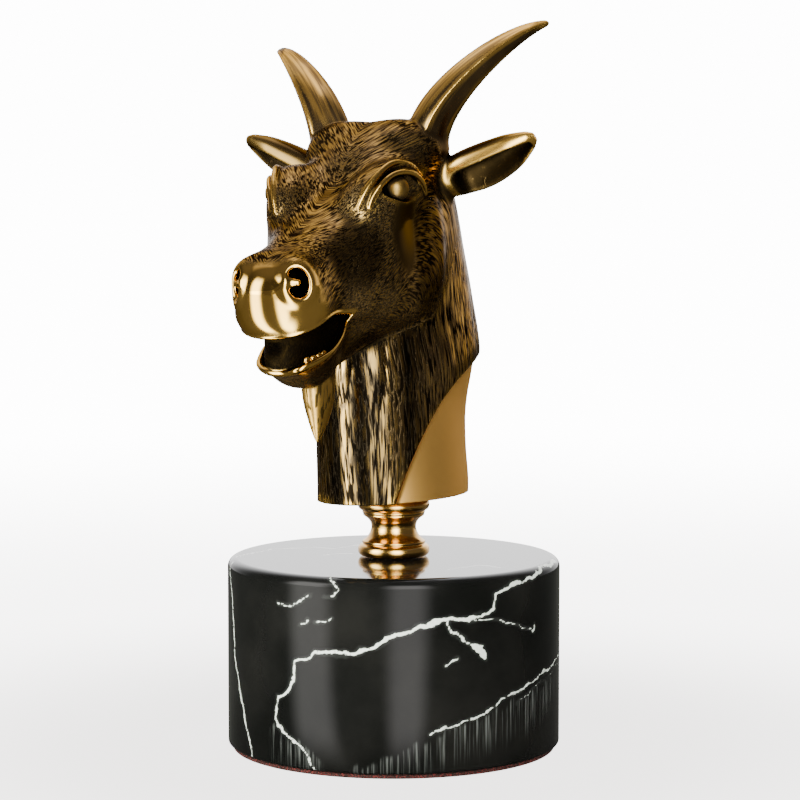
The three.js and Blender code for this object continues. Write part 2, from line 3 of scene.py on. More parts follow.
import bpy
import numpy as np
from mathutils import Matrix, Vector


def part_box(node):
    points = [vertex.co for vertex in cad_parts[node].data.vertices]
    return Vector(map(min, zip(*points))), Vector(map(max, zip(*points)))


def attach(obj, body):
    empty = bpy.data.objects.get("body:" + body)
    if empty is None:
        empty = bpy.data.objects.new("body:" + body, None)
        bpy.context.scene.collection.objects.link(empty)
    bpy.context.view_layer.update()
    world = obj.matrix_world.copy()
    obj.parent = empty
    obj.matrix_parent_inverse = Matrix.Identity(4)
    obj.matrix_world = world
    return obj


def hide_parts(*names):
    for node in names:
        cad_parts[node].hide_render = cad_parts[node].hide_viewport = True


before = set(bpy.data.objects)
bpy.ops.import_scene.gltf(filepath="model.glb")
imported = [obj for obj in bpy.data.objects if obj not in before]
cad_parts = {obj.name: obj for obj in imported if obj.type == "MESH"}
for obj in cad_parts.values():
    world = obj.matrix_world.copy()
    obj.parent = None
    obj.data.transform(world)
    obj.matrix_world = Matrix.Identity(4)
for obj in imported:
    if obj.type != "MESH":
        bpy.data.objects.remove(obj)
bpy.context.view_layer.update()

# Zodiac goat: a cast brass head on a turned collar, a black marble drum and a felt pad.
# The shapes are worked out in millimetres and scaled to metres when they become meshes.
millimetre = 0.001
seed = 7

studio = {
    "photoAzimuth": 23.4,  # degrees from the front towards the goat's left
    "distance": 700.0,
    "height": 147.4,
    "tiltDown": 4.77,
    "lens": 123.93,
    "shiftX": 0.00784,
}


# Level direction from the object, degrees from the photograph's camera towards the viewer's right.
def directionAt(degrees):
    angle = math.radians(studio["photoAzimuth"] + degrees)
    return np.array([math.sin(angle), -math.cos(angle), 0])


# Small helpers on whole arrays


# Smooth least of two distances: the least, less a parabola where they are closer than k.
def join(a, b, k):
    h = np.maximum(k - np.abs(a - b), 0) / k
    return np.minimum(a, b) - h * h * k / 4


# The first form less the second, as softly.
def cut(a, b, k):
    return -join(-a, b, k)


# What two forms share, as softly.
def overlap(a, b, k):
    return -join(-a, -b, k)


# 0 below low, 1 above high, with a smooth cubic step between them.
def step(value, low, high):
    t = np.clip((value - low) / (high - low), 0, 1)
    return t * t * (3 - 2 * t)


# Smooth cubic line through stops of (place, value), level beyond its ends.
def profile(place, stops):
    at, value = np.array(stops, np.float32).T
    last = len(at) - 1
    before, after = np.maximum(np.arange(last + 1) - 1, 0), np.minimum(np.arange(last + 1) + 1, last)
    slope = (value[after] - value[before]) / (at[after] - at[before])
    i = np.clip(np.searchsorted(at, place) - 1, 0, last - 1)
    width = at[i + 1] - at[i]
    u = np.clip((place - at[i]) / width, 0, 1)
    v = 1 - u
    return (value[i] * (1 + 2 * u) * v * v + slope[i] * width * u * v * v
            + value[i + 1] * u * u * (3 - 2 * u) - slope[i + 1] * width * u * u * v)


# Turns the pair (a, b) by an angle in degrees.
def turned(a, b, degrees):
    c, s = math.cos(math.radians(degrees)), math.sin(math.radians(degrees))
    return a * c + b * s, b * c - a * s


# Value noise from -1 to 1: hashed numbers on a unit lattice, joined by cubic steps.
def grain(u, v, salt):
    base = [np.floor(c).astype(np.int64) for c in (u, v)]
    part = [(c - b) * (c - b) * (3 - 2 * (c - b)) for c, b in zip((u, v), base)]
    total = np.zeros(u.shape)
    for i, j in np.ndindex(2, 2):
        n = (base[0] + i) * 73856093 ^ (base[1] + j) * 19349663 ^ (seed + salt) * 2654435
        n = (n ^ (n >> 13)) * 1274126177 & 0x7FFFFFFF
        n = (n ^ (n >> 16)) & 0xFFFF
        weight = (part[0] if i else 1 - part[0]) * (part[1] if j else 1 - part[1])
        total += weight * (n / 32767.5 - 1)
    return total


# Forms: each gives the distance to its skin, below zero inside


# Ellipsoid. Pitch lifts the back end of its y axis, yaw turns that end away from the middle.
def ball(p, centre, radii, pitch=0, yaw=0):
    level, z = turned(p[1] - centre[1], p[2] - centre[2], pitch)
    x, y = turned(p[0] - centre[0], level, yaw)
    a, b, c = radii
    reach = np.sqrt((x / a) ** 2 + (y / b) ** 2 + (z / c) ** 2)
    slope = np.sqrt((x / (a * a)) ** 2 + (y / (b * b)) ** 2 + (z / (c * c)) ** 2) + 1e-6
    return reach * (reach - 1) / slope


def sphere(p, centre, radius):
    return ball(p, centre, (radius, radius, radius))


# Form that is round in plan and squarer in height, for the muzzle.
def barrel(p, centre, radii, pitch, power):
    y, z = turned(p[1] - centre[1], p[2] - centre[2], pitch)
    a, b, c = radii
    plan = np.sqrt(((p[0] - centre[0]) / a) ** 2 + (y / b) ** 2)
    return ((plan ** power + np.abs(z / c) ** power) ** (1 / power) - 1) * min(radii)


# Rod with round ends whose radius goes from r0 to r1. Flat scales its width across the head.
def rod(p, start, end, r0, r1, flat=1.0):
    a = [(p[0] - start[0]) / flat, p[1] - start[1], p[2] - start[2]]
    b = [(end[0] - start[0]) / flat, end[1] - start[1], end[2] - start[2]]
    t = np.clip((a[0] * b[0] + a[1] * b[1] + a[2] * b[2]) / (b[0] ** 2 + b[1] ** 2 + b[2] ** 2), 0, 1)
    off = np.sqrt((a[0] - t * b[0]) ** 2 + (a[1] - t * b[1]) ** 2 + (a[2] - t * b[2]) ** 2)
    return (off - (r0 + (r1 - r0) * t)) * min(flat, 1)


# Smooth line through stops of [x, y, z, radius], as many short rods.
def bead(p, stops, count=24):
    stops = np.array(stops, np.float32)
    at, fine = np.arange(len(stops)), np.linspace(0, len(stops) - 1, count)
    line = np.stack([profile(fine, np.stack([at, stops[:, n]], 1)) for n in range(4)], 1)
    nearest = np.full(np.shape(p[0]), 1e3, np.float32)
    for a, b in zip(line[:-1], line[1:]):
        nearest = np.minimum(nearest, rod(p, a[:3], b[:3], a[3], b[3]))
    return nearest


# Lets a step rework the distance only where its mask holds.
def worked(d, p, where, change):
    if where.any():
        d[where] = change(d[where], tuple(c[where] for c in p))
    return d


neck = {
    "halfWidth": [(0, 17.4), (12, 16.8), (24, 16.6), (34, 17.4), (48, 16.4), (62, 15), (80, 12)],
    "front": [(0, -22.2), (8, -22.8), (24, -23.6), (34, -24.4), (60, -20), (80, -10)],
    "back": [
        (0, 25.8), (4, 26.9), (12, 27), (20, 28.4), (30, 33.4),
        (37, 35.8), (50, 33), (62, 29.5), (72, 26.8), (84, 19.5),
    ],
    "top": 84.0,
    "axisY": 1.8,
    "halfWide": 17.5,
    "halfDeep": 23.2,
    "coat": 1.6,
    "bibTurn": -14.7,
    "bibHalfAngle": 43.4,
    "napeEdge": 37.0,
    "napeSweep": 38.0,  # degrees over which the hair's edge climbs to the nape
    "locksRound": 17,
    "lockDepth": 0.22,
    "lockWave": 5.0,
}


# Stump of the neck: ellipses whose width, front and back change with height.
def stump(p):
    x, y, z = p
    half, front, back = (profile(z, neck[name]) for name in ("halfWidth", "front", "back"))
    middle, deep = y - (front + back) / 2, (back - front) / 2
    reach = np.sqrt((x / half) ** 2 + (middle / deep) ** 2)
    slope = np.sqrt((x / half ** 2) ** 2 + (middle / deep ** 2) ** 2) + 1e-6
    return np.maximum(reach * (reach - 1) / slope, z - neck["top"])


# Angle round the neck in degrees, 0 in front.
def turnRoundNeck(x, y):
    return np.degrees(np.arctan2(x / neck["halfWide"], (neck["axisY"] - y) / neck["halfDeep"]))


# Height of the hair's lower edge: below the neck in the bib, sweeping up to the nape behind it.
def hairEdge(turn):
    fromBib = np.abs((turn - neck["bibTurn"] + 180) % 360 - 180) - neck["bibHalfAngle"]
    climb = 1 - np.exp(-np.maximum(fromBib, 0) / neck["napeSweep"])
    return np.where(fromBib < 0, -3, neck["napeEdge"] * climb)


# Coat of hair: the stump's skin moved out, with slowly waving locks that have sharp valleys.
def coat(p, skin):
    x, y, z = p
    turn = turnRoundNeck(x, y)
    wave = neck["lockWave"] * np.sin(z / 9 + turn / 40)
    lock = np.abs(np.sin(np.radians((turn + wave) * neck["locksRound"]) / 2))
    hair = skin - neck["coat"] + neck["lockDepth"] * step(62 - z, 0, 25) * (1 - lock) ** 2
    return overlap(hair, (hairEdge(turn) - z) * 0.6, 0.7)


head = {
    "top": [(-72, 62), (-64, 63.6), (-55, 67), (-45, 71.2), (-38, 75), (-30, 79), (-18, 87), (-8, 92)],
    "low": [(-72, 46), (-60, 45), (-48, 45), (-30, 44), (-8, 44)],
    "half": [
        (-72, 8.6), (-64, 9.6), (-56, 10.4), (-50, 11.6), (-44, 14), (-38, 16), (-30, 17.3), (-8, 17.3),
    ],
    "taper": [(-60, 0.1), (-45, 0.05), (-30, 0.12), (-8, 0.2)],
    "squareness": 2.9,
    "narrowRight": 0.1,
    "skull": ((0, 0, 75.5), (16.5, 24, 19.5)),
    # swellings of both sides: centre, radii, pitch, yaw and how softly each is joined on
    "temple": ((12.6, -21, 76.5), (6, 13, 7), 8, -8, 6),
    "browBone": ((13.4, -29.5, 78.6), (5.2, 9, 4.6), 22, -28, 6),
    "underEye": ((11.3, -33.5, 69.5), (5.2, 7.5, 9), 20, -28, 5),
    "hornSeat": ((9, -4, 87.5), (9, 9, 7.5), 0, 0, 5),
    "muzzle": ((0, -61.5, 53.4), (10.5, 11.7, 10.2), 8, 2.5),
    "jawBone": ((0, -10, 55), (0, -52, 38.6), 12, 6.4, 1.15),
    "lowerLip": ((0, -54.2, 38.8), (8.4, 11.2, 5), 6),
    "chin": ((0, -50.5, 36), (6, 7, 4.2)),
    "leftOfLip": ((5.2, -55, 42.2), (5.6, 13.2, 5.4), 20),
    "rightOfLip": ((-4.3, -53, 42.3), (4.4, 6.5, 3.6)),
    "cheek": ((9.8, -10, 60.5), (8.2, 25, 14), 12),
}


# Face: rounded square sections that follow the profile of the nose.
def face(p):
    x, y, z = p
    top, low, half = (profile(y, head[name]) for name in ("top", "low", "half"))
    deep = (top - low) / 2
    v = (z - (top + low) / 2) / deep
    u = np.abs(x) / (half * (1 - profile(y, head["taper"]) * np.clip(v, -1, 1)))
    power = head["squareness"]
    reach = (u ** power + np.abs(v) ** power) ** (1 / power)
    return overlap((reach - 1) * np.minimum(half, deep) * 0.95, np.maximum(-66 - y, y + 8), 4)


# The place of a point on the head, whose right side is a little narrower above the mouth, and its mirror
# image on the left side.
def sides(p):
    x, y, z = p
    narrow = step(-x, 2, 8) * step(z, 48, 56) * step(-y, 10, 22)
    x = x * (1 + head["narrowRight"] * narrow)
    return (x, y, z), (np.sqrt(x ** 2 + 0.6), y, z)


# Head without its openings: an ellipsoid skull joined to face, brows, muzzle, jaw and cheeks.
def headForm(p, m):
    d = join(ball(p, *head["skull"]), face(p), 6)
    for name in ("temple", "browBone", "underEye", "hornSeat"):
        *swelling, softness = head[name]
        d = join(d, ball(m, *swelling), softness)
    d = join(d, barrel(p, *head["muzzle"]), 4)
    jaw = join(join(rod(p, *head["jawBone"]), ball(p, *head["lowerLip"]), 3), ball(p, *head["chin"]), 3)
    d = join(join(d, jaw, 3), ball(p, *head["leftOfLip"]), 2.5)
    return join(join(d, ball(p, *head["rightOfLip"]), 2), ball(m, *head["cheek"]), 7)


mouth = {
    "upper": [(-78, 43), (-72, 43.2), (-68, 44.2), (-64, 46), (-59, 48), (-54, 49), (-46, 49)],
    "lower": [
        (-78, 35.2), (-68, 35), (-63, 35.4), (-58, 36.5), (-54.5, 38), (-51, 40), (-48.5, 42), (-45, 45.5),
    ],
    "corner": -44.8,
    "rollEnd": -44.0,
    "teeth": [(7.4, -64.4, 38.6), (8.2, -62.7, 38.9), (8.9, -61, 39.3), (9.4, -59.3, 39.8)],
}


# Round roll along the line where a cut with distance c meets a skin with distance d.
def rollAlong(d, c, sink, radius):
    return np.hypot(d + sink, c) - radius


# Wedge between the lines of the two lips, as far back as the corner.
def mouthWedge(p):
    x, y, z = p
    gap = np.maximum(z - profile(y, mouth["upper"]), profile(y, mouth["lower"]) + 0.03 * x * x - z)
    return overlap(gap, y - mouth["corner"], 3)


# Roll round the mouth's edge, thicker on the lower lip.
def lipRoll(d, wedge, z, radius):
    return rollAlong(d, wedge, 0.3, radius + 0.5 * step(43 - z, 0, 5))


def teeth(p):
    m = np.abs(p[0]), p[1], p[2]
    return np.minimum.reduce([ball(m, place, (0.8, 0.9, 1)) for place in mouth["teeth"]])


# Parted lips: a wedge cut in from the skin in front of the palate, with a thin roll round its edge.
def cutMouth(d, p):
    wedge = mouthWedge(p)
    palate = barrel(p, (0, -46, 43), (8.4, 19.2, 14), 0, 4)
    rim = np.maximum(lipRoll(d, wedge, p[2], 0.55), p[1] - mouth["rollEnd"])
    opened = cut(d, overlap(wedge, -palate, 1.2), 0.5)
    opened = join(opened, np.maximum(teeth(p), d + 0.7), 0.3)
    return join(opened, rim, 0.4)


nostril = {
    "wing": ((5.8, -64.8, 57.6), (4.1, 5.2, 5.2), 20, 25),
    "hole": ((7.4, -68, 56.9), (3.7, 6.2, 4.6), 20, 35),
    "fold": ((5.7, -70.1, 57), (8.2, -69.5, 56.9), 1.5, 0.8),
}


# Nostril: a raised wing, a hole with a rolled edge, and the fold that leaves the hole a crescent.
def addNostril(d, m):
    raised = join(d, ball(m, *nostril["wing"]), 2.5)
    hole = ball(m, *nostril["hole"])
    opened = join(cut(raised, hole, 0.6), rollAlong(raised, hole, 1.1, 1.45), 1.2)
    return join(opened, rod(m, *nostril["fold"]), 1)


eye = {
    "upperLid": [
        (13.7, -39.6, 73.8, 0.45), (14.3, -38.4, 76.2, 0.6), (15.8, -36.4, 79.1, 0.65),
        (17.4, -33.3, 81.2, 0.65), (18.8, -29.3, 81.9, 0.65), (19.8, -24.8, 81.2, 0.65),
        (19.9, -20.5, 79, 0.6), (19.3, -17.5, 76.6, 0.4),
    ],
    "brow": [
        (11.4, -41.4, 73.6, 0.3), (12.5, -39.8, 76.8, 0.55), (14, -37.2, 80.2, 0.7),
        (15.8, -32.8, 83.4, 0.7), (17.2, -28.6, 84.4, 0.6), (18.2, -23.6, 83.6, 0.4), (18.7, -19, 81, 0.3),
    ],
    "socket": ((18.9, -28.2, 78.2), (2.4, 8.8, 3.4), 5, -20),
    "globe": ((16.6, -30.2, 77.9), 3.3),
    "tearBead": ((14.8, -37.2, 74.9), 0.5),
}


# Eye: a hollow with a small globe in it, the bead in its corner, the upper lid and the fold of the brow.
def addEye(d, m):
    raised = join(d, bead(m, eye["brow"]), 1.2)
    socket = cut(raised, ball(m, *eye["socket"]), 0.5)
    globe = join(join(socket, sphere(m, *eye["globe"]), 0.25), sphere(m, *eye["tearBead"]), 0.2)
    return join(globe, bead(m, eye["upperLid"]), 0.5)


beard = {
    "lock": [
        (0, -42.8, 35, 6), (0, -43, 29.5, 5.6), (0.1, -43.6, 24.5, 3.9), (0.3, -44.6, 20.4, 1.9),
        (0.3, -45, 18.4, 0.7),
    ],
    "flat": 0.62,
}


# Beard: one pointed lock that narrows downwards.
def beardForm(p):
    return bead((p[0] / beard["flat"], p[1], p[2]), beard["lock"], 16) * beard["flat"]


ear = {
    "roots": (np.array([15.5, 2, 79.5]), np.array([15.5, 2, 80.5])),
    "tips": (np.array([40, 4.5, 89.8]), np.array([39.2, 3.5, 92.6])),
    "facing": np.array([0.1, -0.5, -0.86]),
    "halfWidth": [(0, 5.6), (0.35, 7), (0.7, 5.8), (0.93, 3.1), (1, 1.4)],
    "sag": 1.5,
    "wall": 1.9,
}


# Places of points on an ear: along it, across it and out of its hollow. The right ear stands higher.
def earPlace(m, right):
    root, tip = ear["roots"][right], ear["tips"][right]
    length = float(np.linalg.norm(tip - root))
    axis = (tip - root) / length
    out = ear["facing"] - axis * (ear["facing"] @ axis)
    out /= np.linalg.norm(out)
    side = np.cross(out, axis)
    off = [m[n] - root[n] for n in range(3)]
    along, across, out = (sum(off[n] * float(v[n]) for n in range(3)) for v in (axis, side, out))
    share = np.clip(along / length, 0, 1)
    across = across + np.sign(side[2]) * ear["sag"] * np.sin(np.pi * share)
    return along, share, across, out, along - length


# Hollow of the ear: a wider ellipse that enters from the facing side.
def earHollow(place):
    along, share, across, out, past = place
    half = profile(share, ear["halfWidth"])
    inner = half - ear["wall"]
    reach = np.sqrt((across / np.maximum(inner, 0.3)) ** 2 + ((out - 0.65 * half) / (0.95 * half)) ** 2)
    return overlap(overlap((reach - 1) * inner, 4 - along, 3), past + 1.6, 1)


# Ear: a pointed leaf of elliptic section, hollowed from its facing side.
def earForm(place):
    along, share, across, out, past = place
    half = profile(share, ear["halfWidth"])
    leaf = (np.sqrt((across / half) ** 2 + (out / (0.7 * half)) ** 2) - 1) * 0.7 * half
    return cut(np.maximum(leaf, np.maximum(past, -along - 3)), earHollow(place), 1.3)


# A form of the ear on whichever side a point is.
def eachEar(form, p):
    x, y, z = p
    d = np.empty(np.shape(x), np.float32)
    for right in (0, 1):
        where = (x < 0) == bool(right)
        d[where] = form(earPlace((np.abs(x[where]), y[where], z[where]), right))
    return d


horn = {
    "stops": np.array([[13.5, -3, 88], [13.1, -3.9, 99.1], [30.2, 11.2, 116.2], [37.5, 21.2, 118.7]]),
    "rightDrop": np.array([0, 0, 1.7, 2.9]),
    "radius": 6.9,
    "tipRadius": 1.3,
    "keel": np.array([0.25, -1, -0.1]),
    "keelAngle": math.radians(42),
    "keelHeight": 1.1,
}


# Bezier line of a horn and its first two slopes at the shares t.
def hornLine(stops, t):
    t = np.asarray(t)[..., None]
    s = 1 - t
    a, b, c, e = stops
    place = a * s ** 3 + 3 * b * s * s * t + 3 * c * s * t * t + e * t ** 3
    slope = 3 * ((b - a) * s * s + 2 * (c - b) * s * t + (e - c) * t * t)
    bend = 6 * ((c - 2 * b + a) * s + (e - 2 * c + b) * t)
    return place, slope, bend


# Place round a horn: share along it, and distances to the front, side and past its ends.
def hornPlace(p, stops):
    point = np.stack(p, -1).astype(np.float64)
    samples = np.linspace(0, 1, 25)
    line = hornLine(stops, samples)[0]
    t = samples[((point[:, None, :] - line) ** 2).sum(2).argmin(1)]
    for _ in range(6):
        place, slope, bend = hornLine(stops, t)
        off = point - place
        first = (off * slope).sum(1)
        second = (slope ** 2).sum(1) - (off * bend).sum(1)
        t = np.clip(t + first / np.maximum(second, 1), 0, 1)
    place, slope, _ = hornLine(stops, t)
    tangent = slope / np.linalg.norm(slope, axis=1, keepdims=True)
    off = point - place
    keel = horn["keel"] - tangent * (tangent @ horn["keel"])[:, None]
    keel /= np.linalg.norm(keel, axis=1, keepdims=True)
    side = np.cross(tangent, keel)
    return t, (off * keel).sum(1), (off * side).sum(1), np.abs((off * tangent).sum(1))


# Horn: a tapering round with a softly keeled front, round at its tip.
def hornForm(p, stops):
    t, front, side, end = hornPlace(p, stops)
    radius = horn["radius"] * (1 - t ** 1.45) + horn["tipRadius"] * t
    angle = horn["keelAngle"]
    wedge = np.abs(side) * math.cos(angle) + (front - horn["keelHeight"] * radius) * math.sin(angle)
    body = overlap(np.sqrt(front ** 2 + side ** 2 + end ** 2) - 1.03 * radius, wedge, 0.92 * radius + 0.3)
    return body.astype(np.float32)


# A form of the horn on whichever side a point is; the right horn is a little lower.
def eachHorn(form, p, count=1):
    x, y, z = p
    found = np.full((count, len(x)), 1e3, np.float32)
    drops = np.stack([np.zeros(4), np.zeros(4), horn["rightDrop"]], 1)
    for where, sign, stops in ((x > 0, 1, horn["stops"]), (x <= 0, -1, horn["stops"] - drops)):
        if where.any():
            found[:, where] = form((x[where] * sign, y[where], z[where]), stops)
    return found


def horns(p):
    return eachHorn(hornForm, p)[0]


# Share along a horn, angle round it from the keel, and how dark it is: a fine line on one side of the keel,
# a band of painted shade on the other, painted shade at the far edge, and darker at the root.
def hornMarks(p, stops):
    t, front, side, _ = hornPlace(p, stops)
    turn = np.degrees(np.arctan2(side, front))
    band = step(turn, 8, 26) * (1 - step(turn, 62, 90))
    edge = step(-turn, 74, 100)
    line = (1 - step(np.abs(turn + 16), 1.5, 5)) * (1 - step(t, 0.7, 0.9))
    lower = 1 - step(t, 0.75, 1)
    return t, turn, np.maximum.reduce([band * lower, 0.6 * edge, line, 1 - step(t, 0.08, 0.22)])


# The whole casting. Each feature is worked out only in its own part of the head.
def goatForm(p):
    x, y, z = p
    d = headForm(*sides(p))
    d = worked(d, p, y < -30, lambda e, q: addNostril(cutMouth(e, sides(q)[0]), sides(q)[1]))
    skin = stump(p)
    d = join(d, skin, 3)
    d = join(d, coat(p, skin), 2)
    d = worked(d, p, (z > 64) & (z < 92) & (y < 0) & (y > -50), lambda e, q: addEye(e, sides(q)[1]))
    d = worked(d, p, (z < 50) & (y < 0), lambda e, q: join(e, beardForm(q), 0.7))
    d = worked(d, p, (z > 60) & (np.abs(x) > 8), lambda e, q: join(e, eachEar(earForm, q), 2))
    d = worked(d, p, z > 78, lambda e, q: join(e, horns(q), 0.8))
    return np.maximum(d, -z)


# Meshing


# Values of a form on a fine grid. Blocks far from the skin keep one coarse value.
def gridOf(form, low, high, cell, block=4):
    first, pitch = cell * (block - 1) / 2, cell * block
    coarse = [np.arange(a + first, b, pitch, dtype=np.float32) for a, b in zip(low, high)]
    centres = np.meshgrid(*coarse, indexing="ij")
    middle = form(tuple(c.ravel() for c in centres)).reshape(centres[0].shape)
    near = np.argwhere(np.abs(middle) < pitch * 0.87 + 1.6)
    values = np.repeat(np.repeat(np.repeat(middle, block, 0), block, 1), block, 2)
    inner = np.stack(np.meshgrid(*[np.arange(block)] * 3, indexing="ij"), -1).reshape(-1, 3)
    for some in np.array_split(near, max(len(near) // 12000, 1)):
        index = (some[:, None] * block + inner).reshape(-1, 3)
        place = tuple((low[n] + cell * index[:, n]).astype(np.float32) for n in range(3))
        values[index[:, 0], index[:, 1], index[:, 2]] = form(place)
    return values


# Surface net: one point in each cell that the skin crosses, at the mean of its edge crossings, and
# one four-sided face round each grid edge that the skin crosses.
def surfaceNet(values, low, cell):
    inside = values < 0
    corners = np.array(list(np.ndindex(2, 2, 2)))
    wide, deep, tall = np.array(inside.shape) - 1
    count = np.zeros((wide, deep, tall), np.int8)
    for i, j, k in corners:
        count += inside[i:wide + i, j:deep + j, k:tall + k]
    active = (count > 0) & (count < 8)
    cells = np.argwhere(active)
    number = np.full(active.shape, -1, np.int32)
    number[active] = np.arange(len(cells))
    at = cells[:, None] + corners
    value = values[at[..., 0], at[..., 1], at[..., 2]]
    total, crossings = np.zeros((len(cells), 3)), np.zeros(len(cells))
    for a in range(8):
        for axis in range(3):
            if corners[a][axis] == 0:
                b = a + (4, 2, 1)[axis]
                crossed = (value[:, a] < 0) != (value[:, b] < 0)
                t = np.where(crossed, value[:, a] / np.where(crossed, value[:, a] - value[:, b], 1), 0)
                place = corners[a] + t[:, None] * (corners[b] - corners[a])
                total += place * crossed[:, None]
                crossings += crossed
    points = (cells + total / crossings[:, None]) * cell + np.array(low)
    faces = []
    for axis in range(3):
        one, two = [n for n in range(3) if n != axis]
        first, second = [slice(1, -1)] * 3, [slice(1, -1)] * 3
        first[axis], second[axis] = slice(0, -1), slice(1, None)
        first, second = inside[tuple(first)], inside[tuple(second)]
        for flip in (False, True):
            edges = np.argwhere(first & ~second if flip else ~first & second)
            edges[:, [one, two]] += 1
            ring = []
            for back in ((1, 1), (0, 1), (0, 0), (1, 0)):
                cellAt = edges.copy()
                cellAt[:, one] -= back[0]
                cellAt[:, two] -= back[1]
                ring.append(number[cellAt[:, 0], cellAt[:, 1], cellAt[:, 2]])
            ring = np.stack(ring, 1)
            faces.append(ring if flip == (axis != 1) else ring[:, ::-1])
    return points, np.concatenate(faces)


# Share of solid metal in a soft ball round every grid point: three box means along each axis. On a flat
# skin it is a half, in a hollow it is more and on a ridge less.
def crowding(solid, reach):
    size = 2 * reach + 1
    for axis in range(3):
        for _ in range(2):
            wide = [(0, 0)] * 3
            wide[axis] = (reach + 1, reach)
            total = np.cumsum(np.pad(solid, wide, mode="edge"), axis=axis, dtype=np.float32)
            ahead, behind = [slice(None)] * 3, [slice(None)] * 3
            ahead[axis], behind[axis] = slice(size, None), slice(0, -size)
            solid = (total[tuple(ahead)] - total[tuple(behind)]) / size
    return solid


# Values of a grid at points between its own, by straight lines along each axis.
def readGrid(grid, points, low, cell):
    at = np.clip((points - np.array(low)) / cell, 0, np.array(grid.shape) - 1.001)
    base = at.astype(np.int32)
    part = at - base
    total = np.zeros(len(points))
    for corner in np.ndindex(2, 2, 2):
        weight = np.prod(np.where(corner, part, 1 - part), axis=1)
        total += weight * grid[tuple((base + corner).T)]
    return total


# Adds each vector to the total of its own point.
def gather(total, index, vectors):
    for axis in range(3):
        total[:, axis] += np.bincount(index, vectors[:, axis], len(total))


# Mean direction of the faces round each point.
def normalsOf(points, faces):
    a, b = points[faces[:, 2]] - points[faces[:, 0]], points[faces[:, 3]] - points[faces[:, 1]]
    across = np.cross(a, b)
    normals = np.zeros_like(points)
    for n in range(4):
        gather(normals, faces[:, n], across)
    return normals / (np.linalg.norm(normals, axis=1, keepdims=True) + 1e-12)


# Normals of a form at points of its skin: how its distance changes over a small step either way.
def slopeOf(form, points, reach):
    slope = np.empty(points.shape)
    for n in range(3):
        moved = [points.T.astype(np.float32) for _ in range(2)]
        moved[0][n] += reach
        moved[1][n] -= reach
        slope[:, n] = form(tuple(moved[0])) - form(tuple(moved[1]))
    return slope / np.maximum(np.linalg.norm(slope, axis=1, keepdims=True), 1e-9)


# Points drawn half way to the mean of their neighbours along the edges of the faces.
def relaxed(points, faces):
    total, count = np.zeros_like(points), np.zeros(len(points))
    for n in range(4):
        here, there = faces[:, n], faces[:, (n + 1) % 4]
        for a, b in ((here, there), (there, here)):
            count += np.bincount(a, minlength=len(points))
            gather(total, a, points[b])
    return 0.5 * points + 0.5 * total / count[:, None]


# Smooth object from points and faces that all have the same number of corners.
def makeObject(name, points, faces):
    mesh = bpy.data.meshes.new(name)
    mesh.vertices.add(len(points))
    mesh.vertices.foreach_set("co", np.asarray(points, np.float32).ravel())
    width = faces.shape[1]
    mesh.loops.add(faces.size)
    mesh.loops.foreach_set("vertex_index", faces.astype(np.int32).ravel())
    mesh.polygons.add(len(faces))
    mesh.polygons.foreach_set("loop_start", np.arange(0, faces.size, width, dtype=np.int32))
    mesh.polygons.foreach_set("use_smooth", np.ones(len(faces), bool))
    mesh.update(calc_edges=True)
    mesh.validate()
    obj = bpy.data.objects.new(name, mesh)
    bpy.context.scene.collection.objects.link(obj)
    return obj


# Puts one number, or one vector, on each point of a mesh for its material to read.
def setAttribute(obj, name, values):
    kind = "FLOAT_VECTOR" if values.ndim == 2 else "FLOAT"
    layer = obj.data.attributes.new(name, kind, "POINT")
    layer.data.foreach_set("vector" if values.ndim == 2 else "value", values.astype(np.float32).ravel())


# The box of one of the frame's nodes in millimetres: its low and high corners.
def boxOf(node):
    return [np.array(corner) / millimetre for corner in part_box(node)]


# Fewer triangles by drawing short edges together where that moves the skin least.
def thinned(points, faces, triangles):
    rough = makeObject("rough", points, faces)
    less = rough.modifiers.new("less", "DECIMATE")
    less.ratio = triangles / (2 * len(faces))
    less.use_collapse_triangulate = True
    mesh = rough.evaluated_get(bpy.context.evaluated_depsgraph_get()).to_mesh()
    kept = np.empty(len(mesh.vertices) * 3, np.float32)
    mesh.vertices.foreach_get("co", kept)
    corners = np.empty(len(mesh.loops), np.int32)
    mesh.loops.foreach_get("vertex_index", corners)
    bpy.data.objects.remove(rough)
    return kept.reshape(-1, 3).astype(np.float64), corners.reshape(-1, 3)


# Goat


casting = {
    "cell": 0.36,
    "triangles": 197000,
    "leanDegrees": 2.26,
    "gap": 0.3,  # above the collar
    "seatRadius": 9.15,  # of the collar, over which the lean lifts the foot
    "low": (-46.0, -76.0, -1.6),
    "high": (46.0, 40.0, 123.0),
}


hair = {
    "centre": (-42.0, 32.0),
    "outline": [
        (-60, 38), (-52, 39), (-37, 38.6), (-23, 37.6), (-7, 39.4), (3, 43), (12, 48), (21, 60), (30, 74),
        (46, 84), (57, 79), (68, 75), (84, 75),
    ],
    "pitch": 50.0,  # millimetres of flow for each radian
    "crown": (0.55, 0.75, 0.37),  # the way the crown's strokes run
}


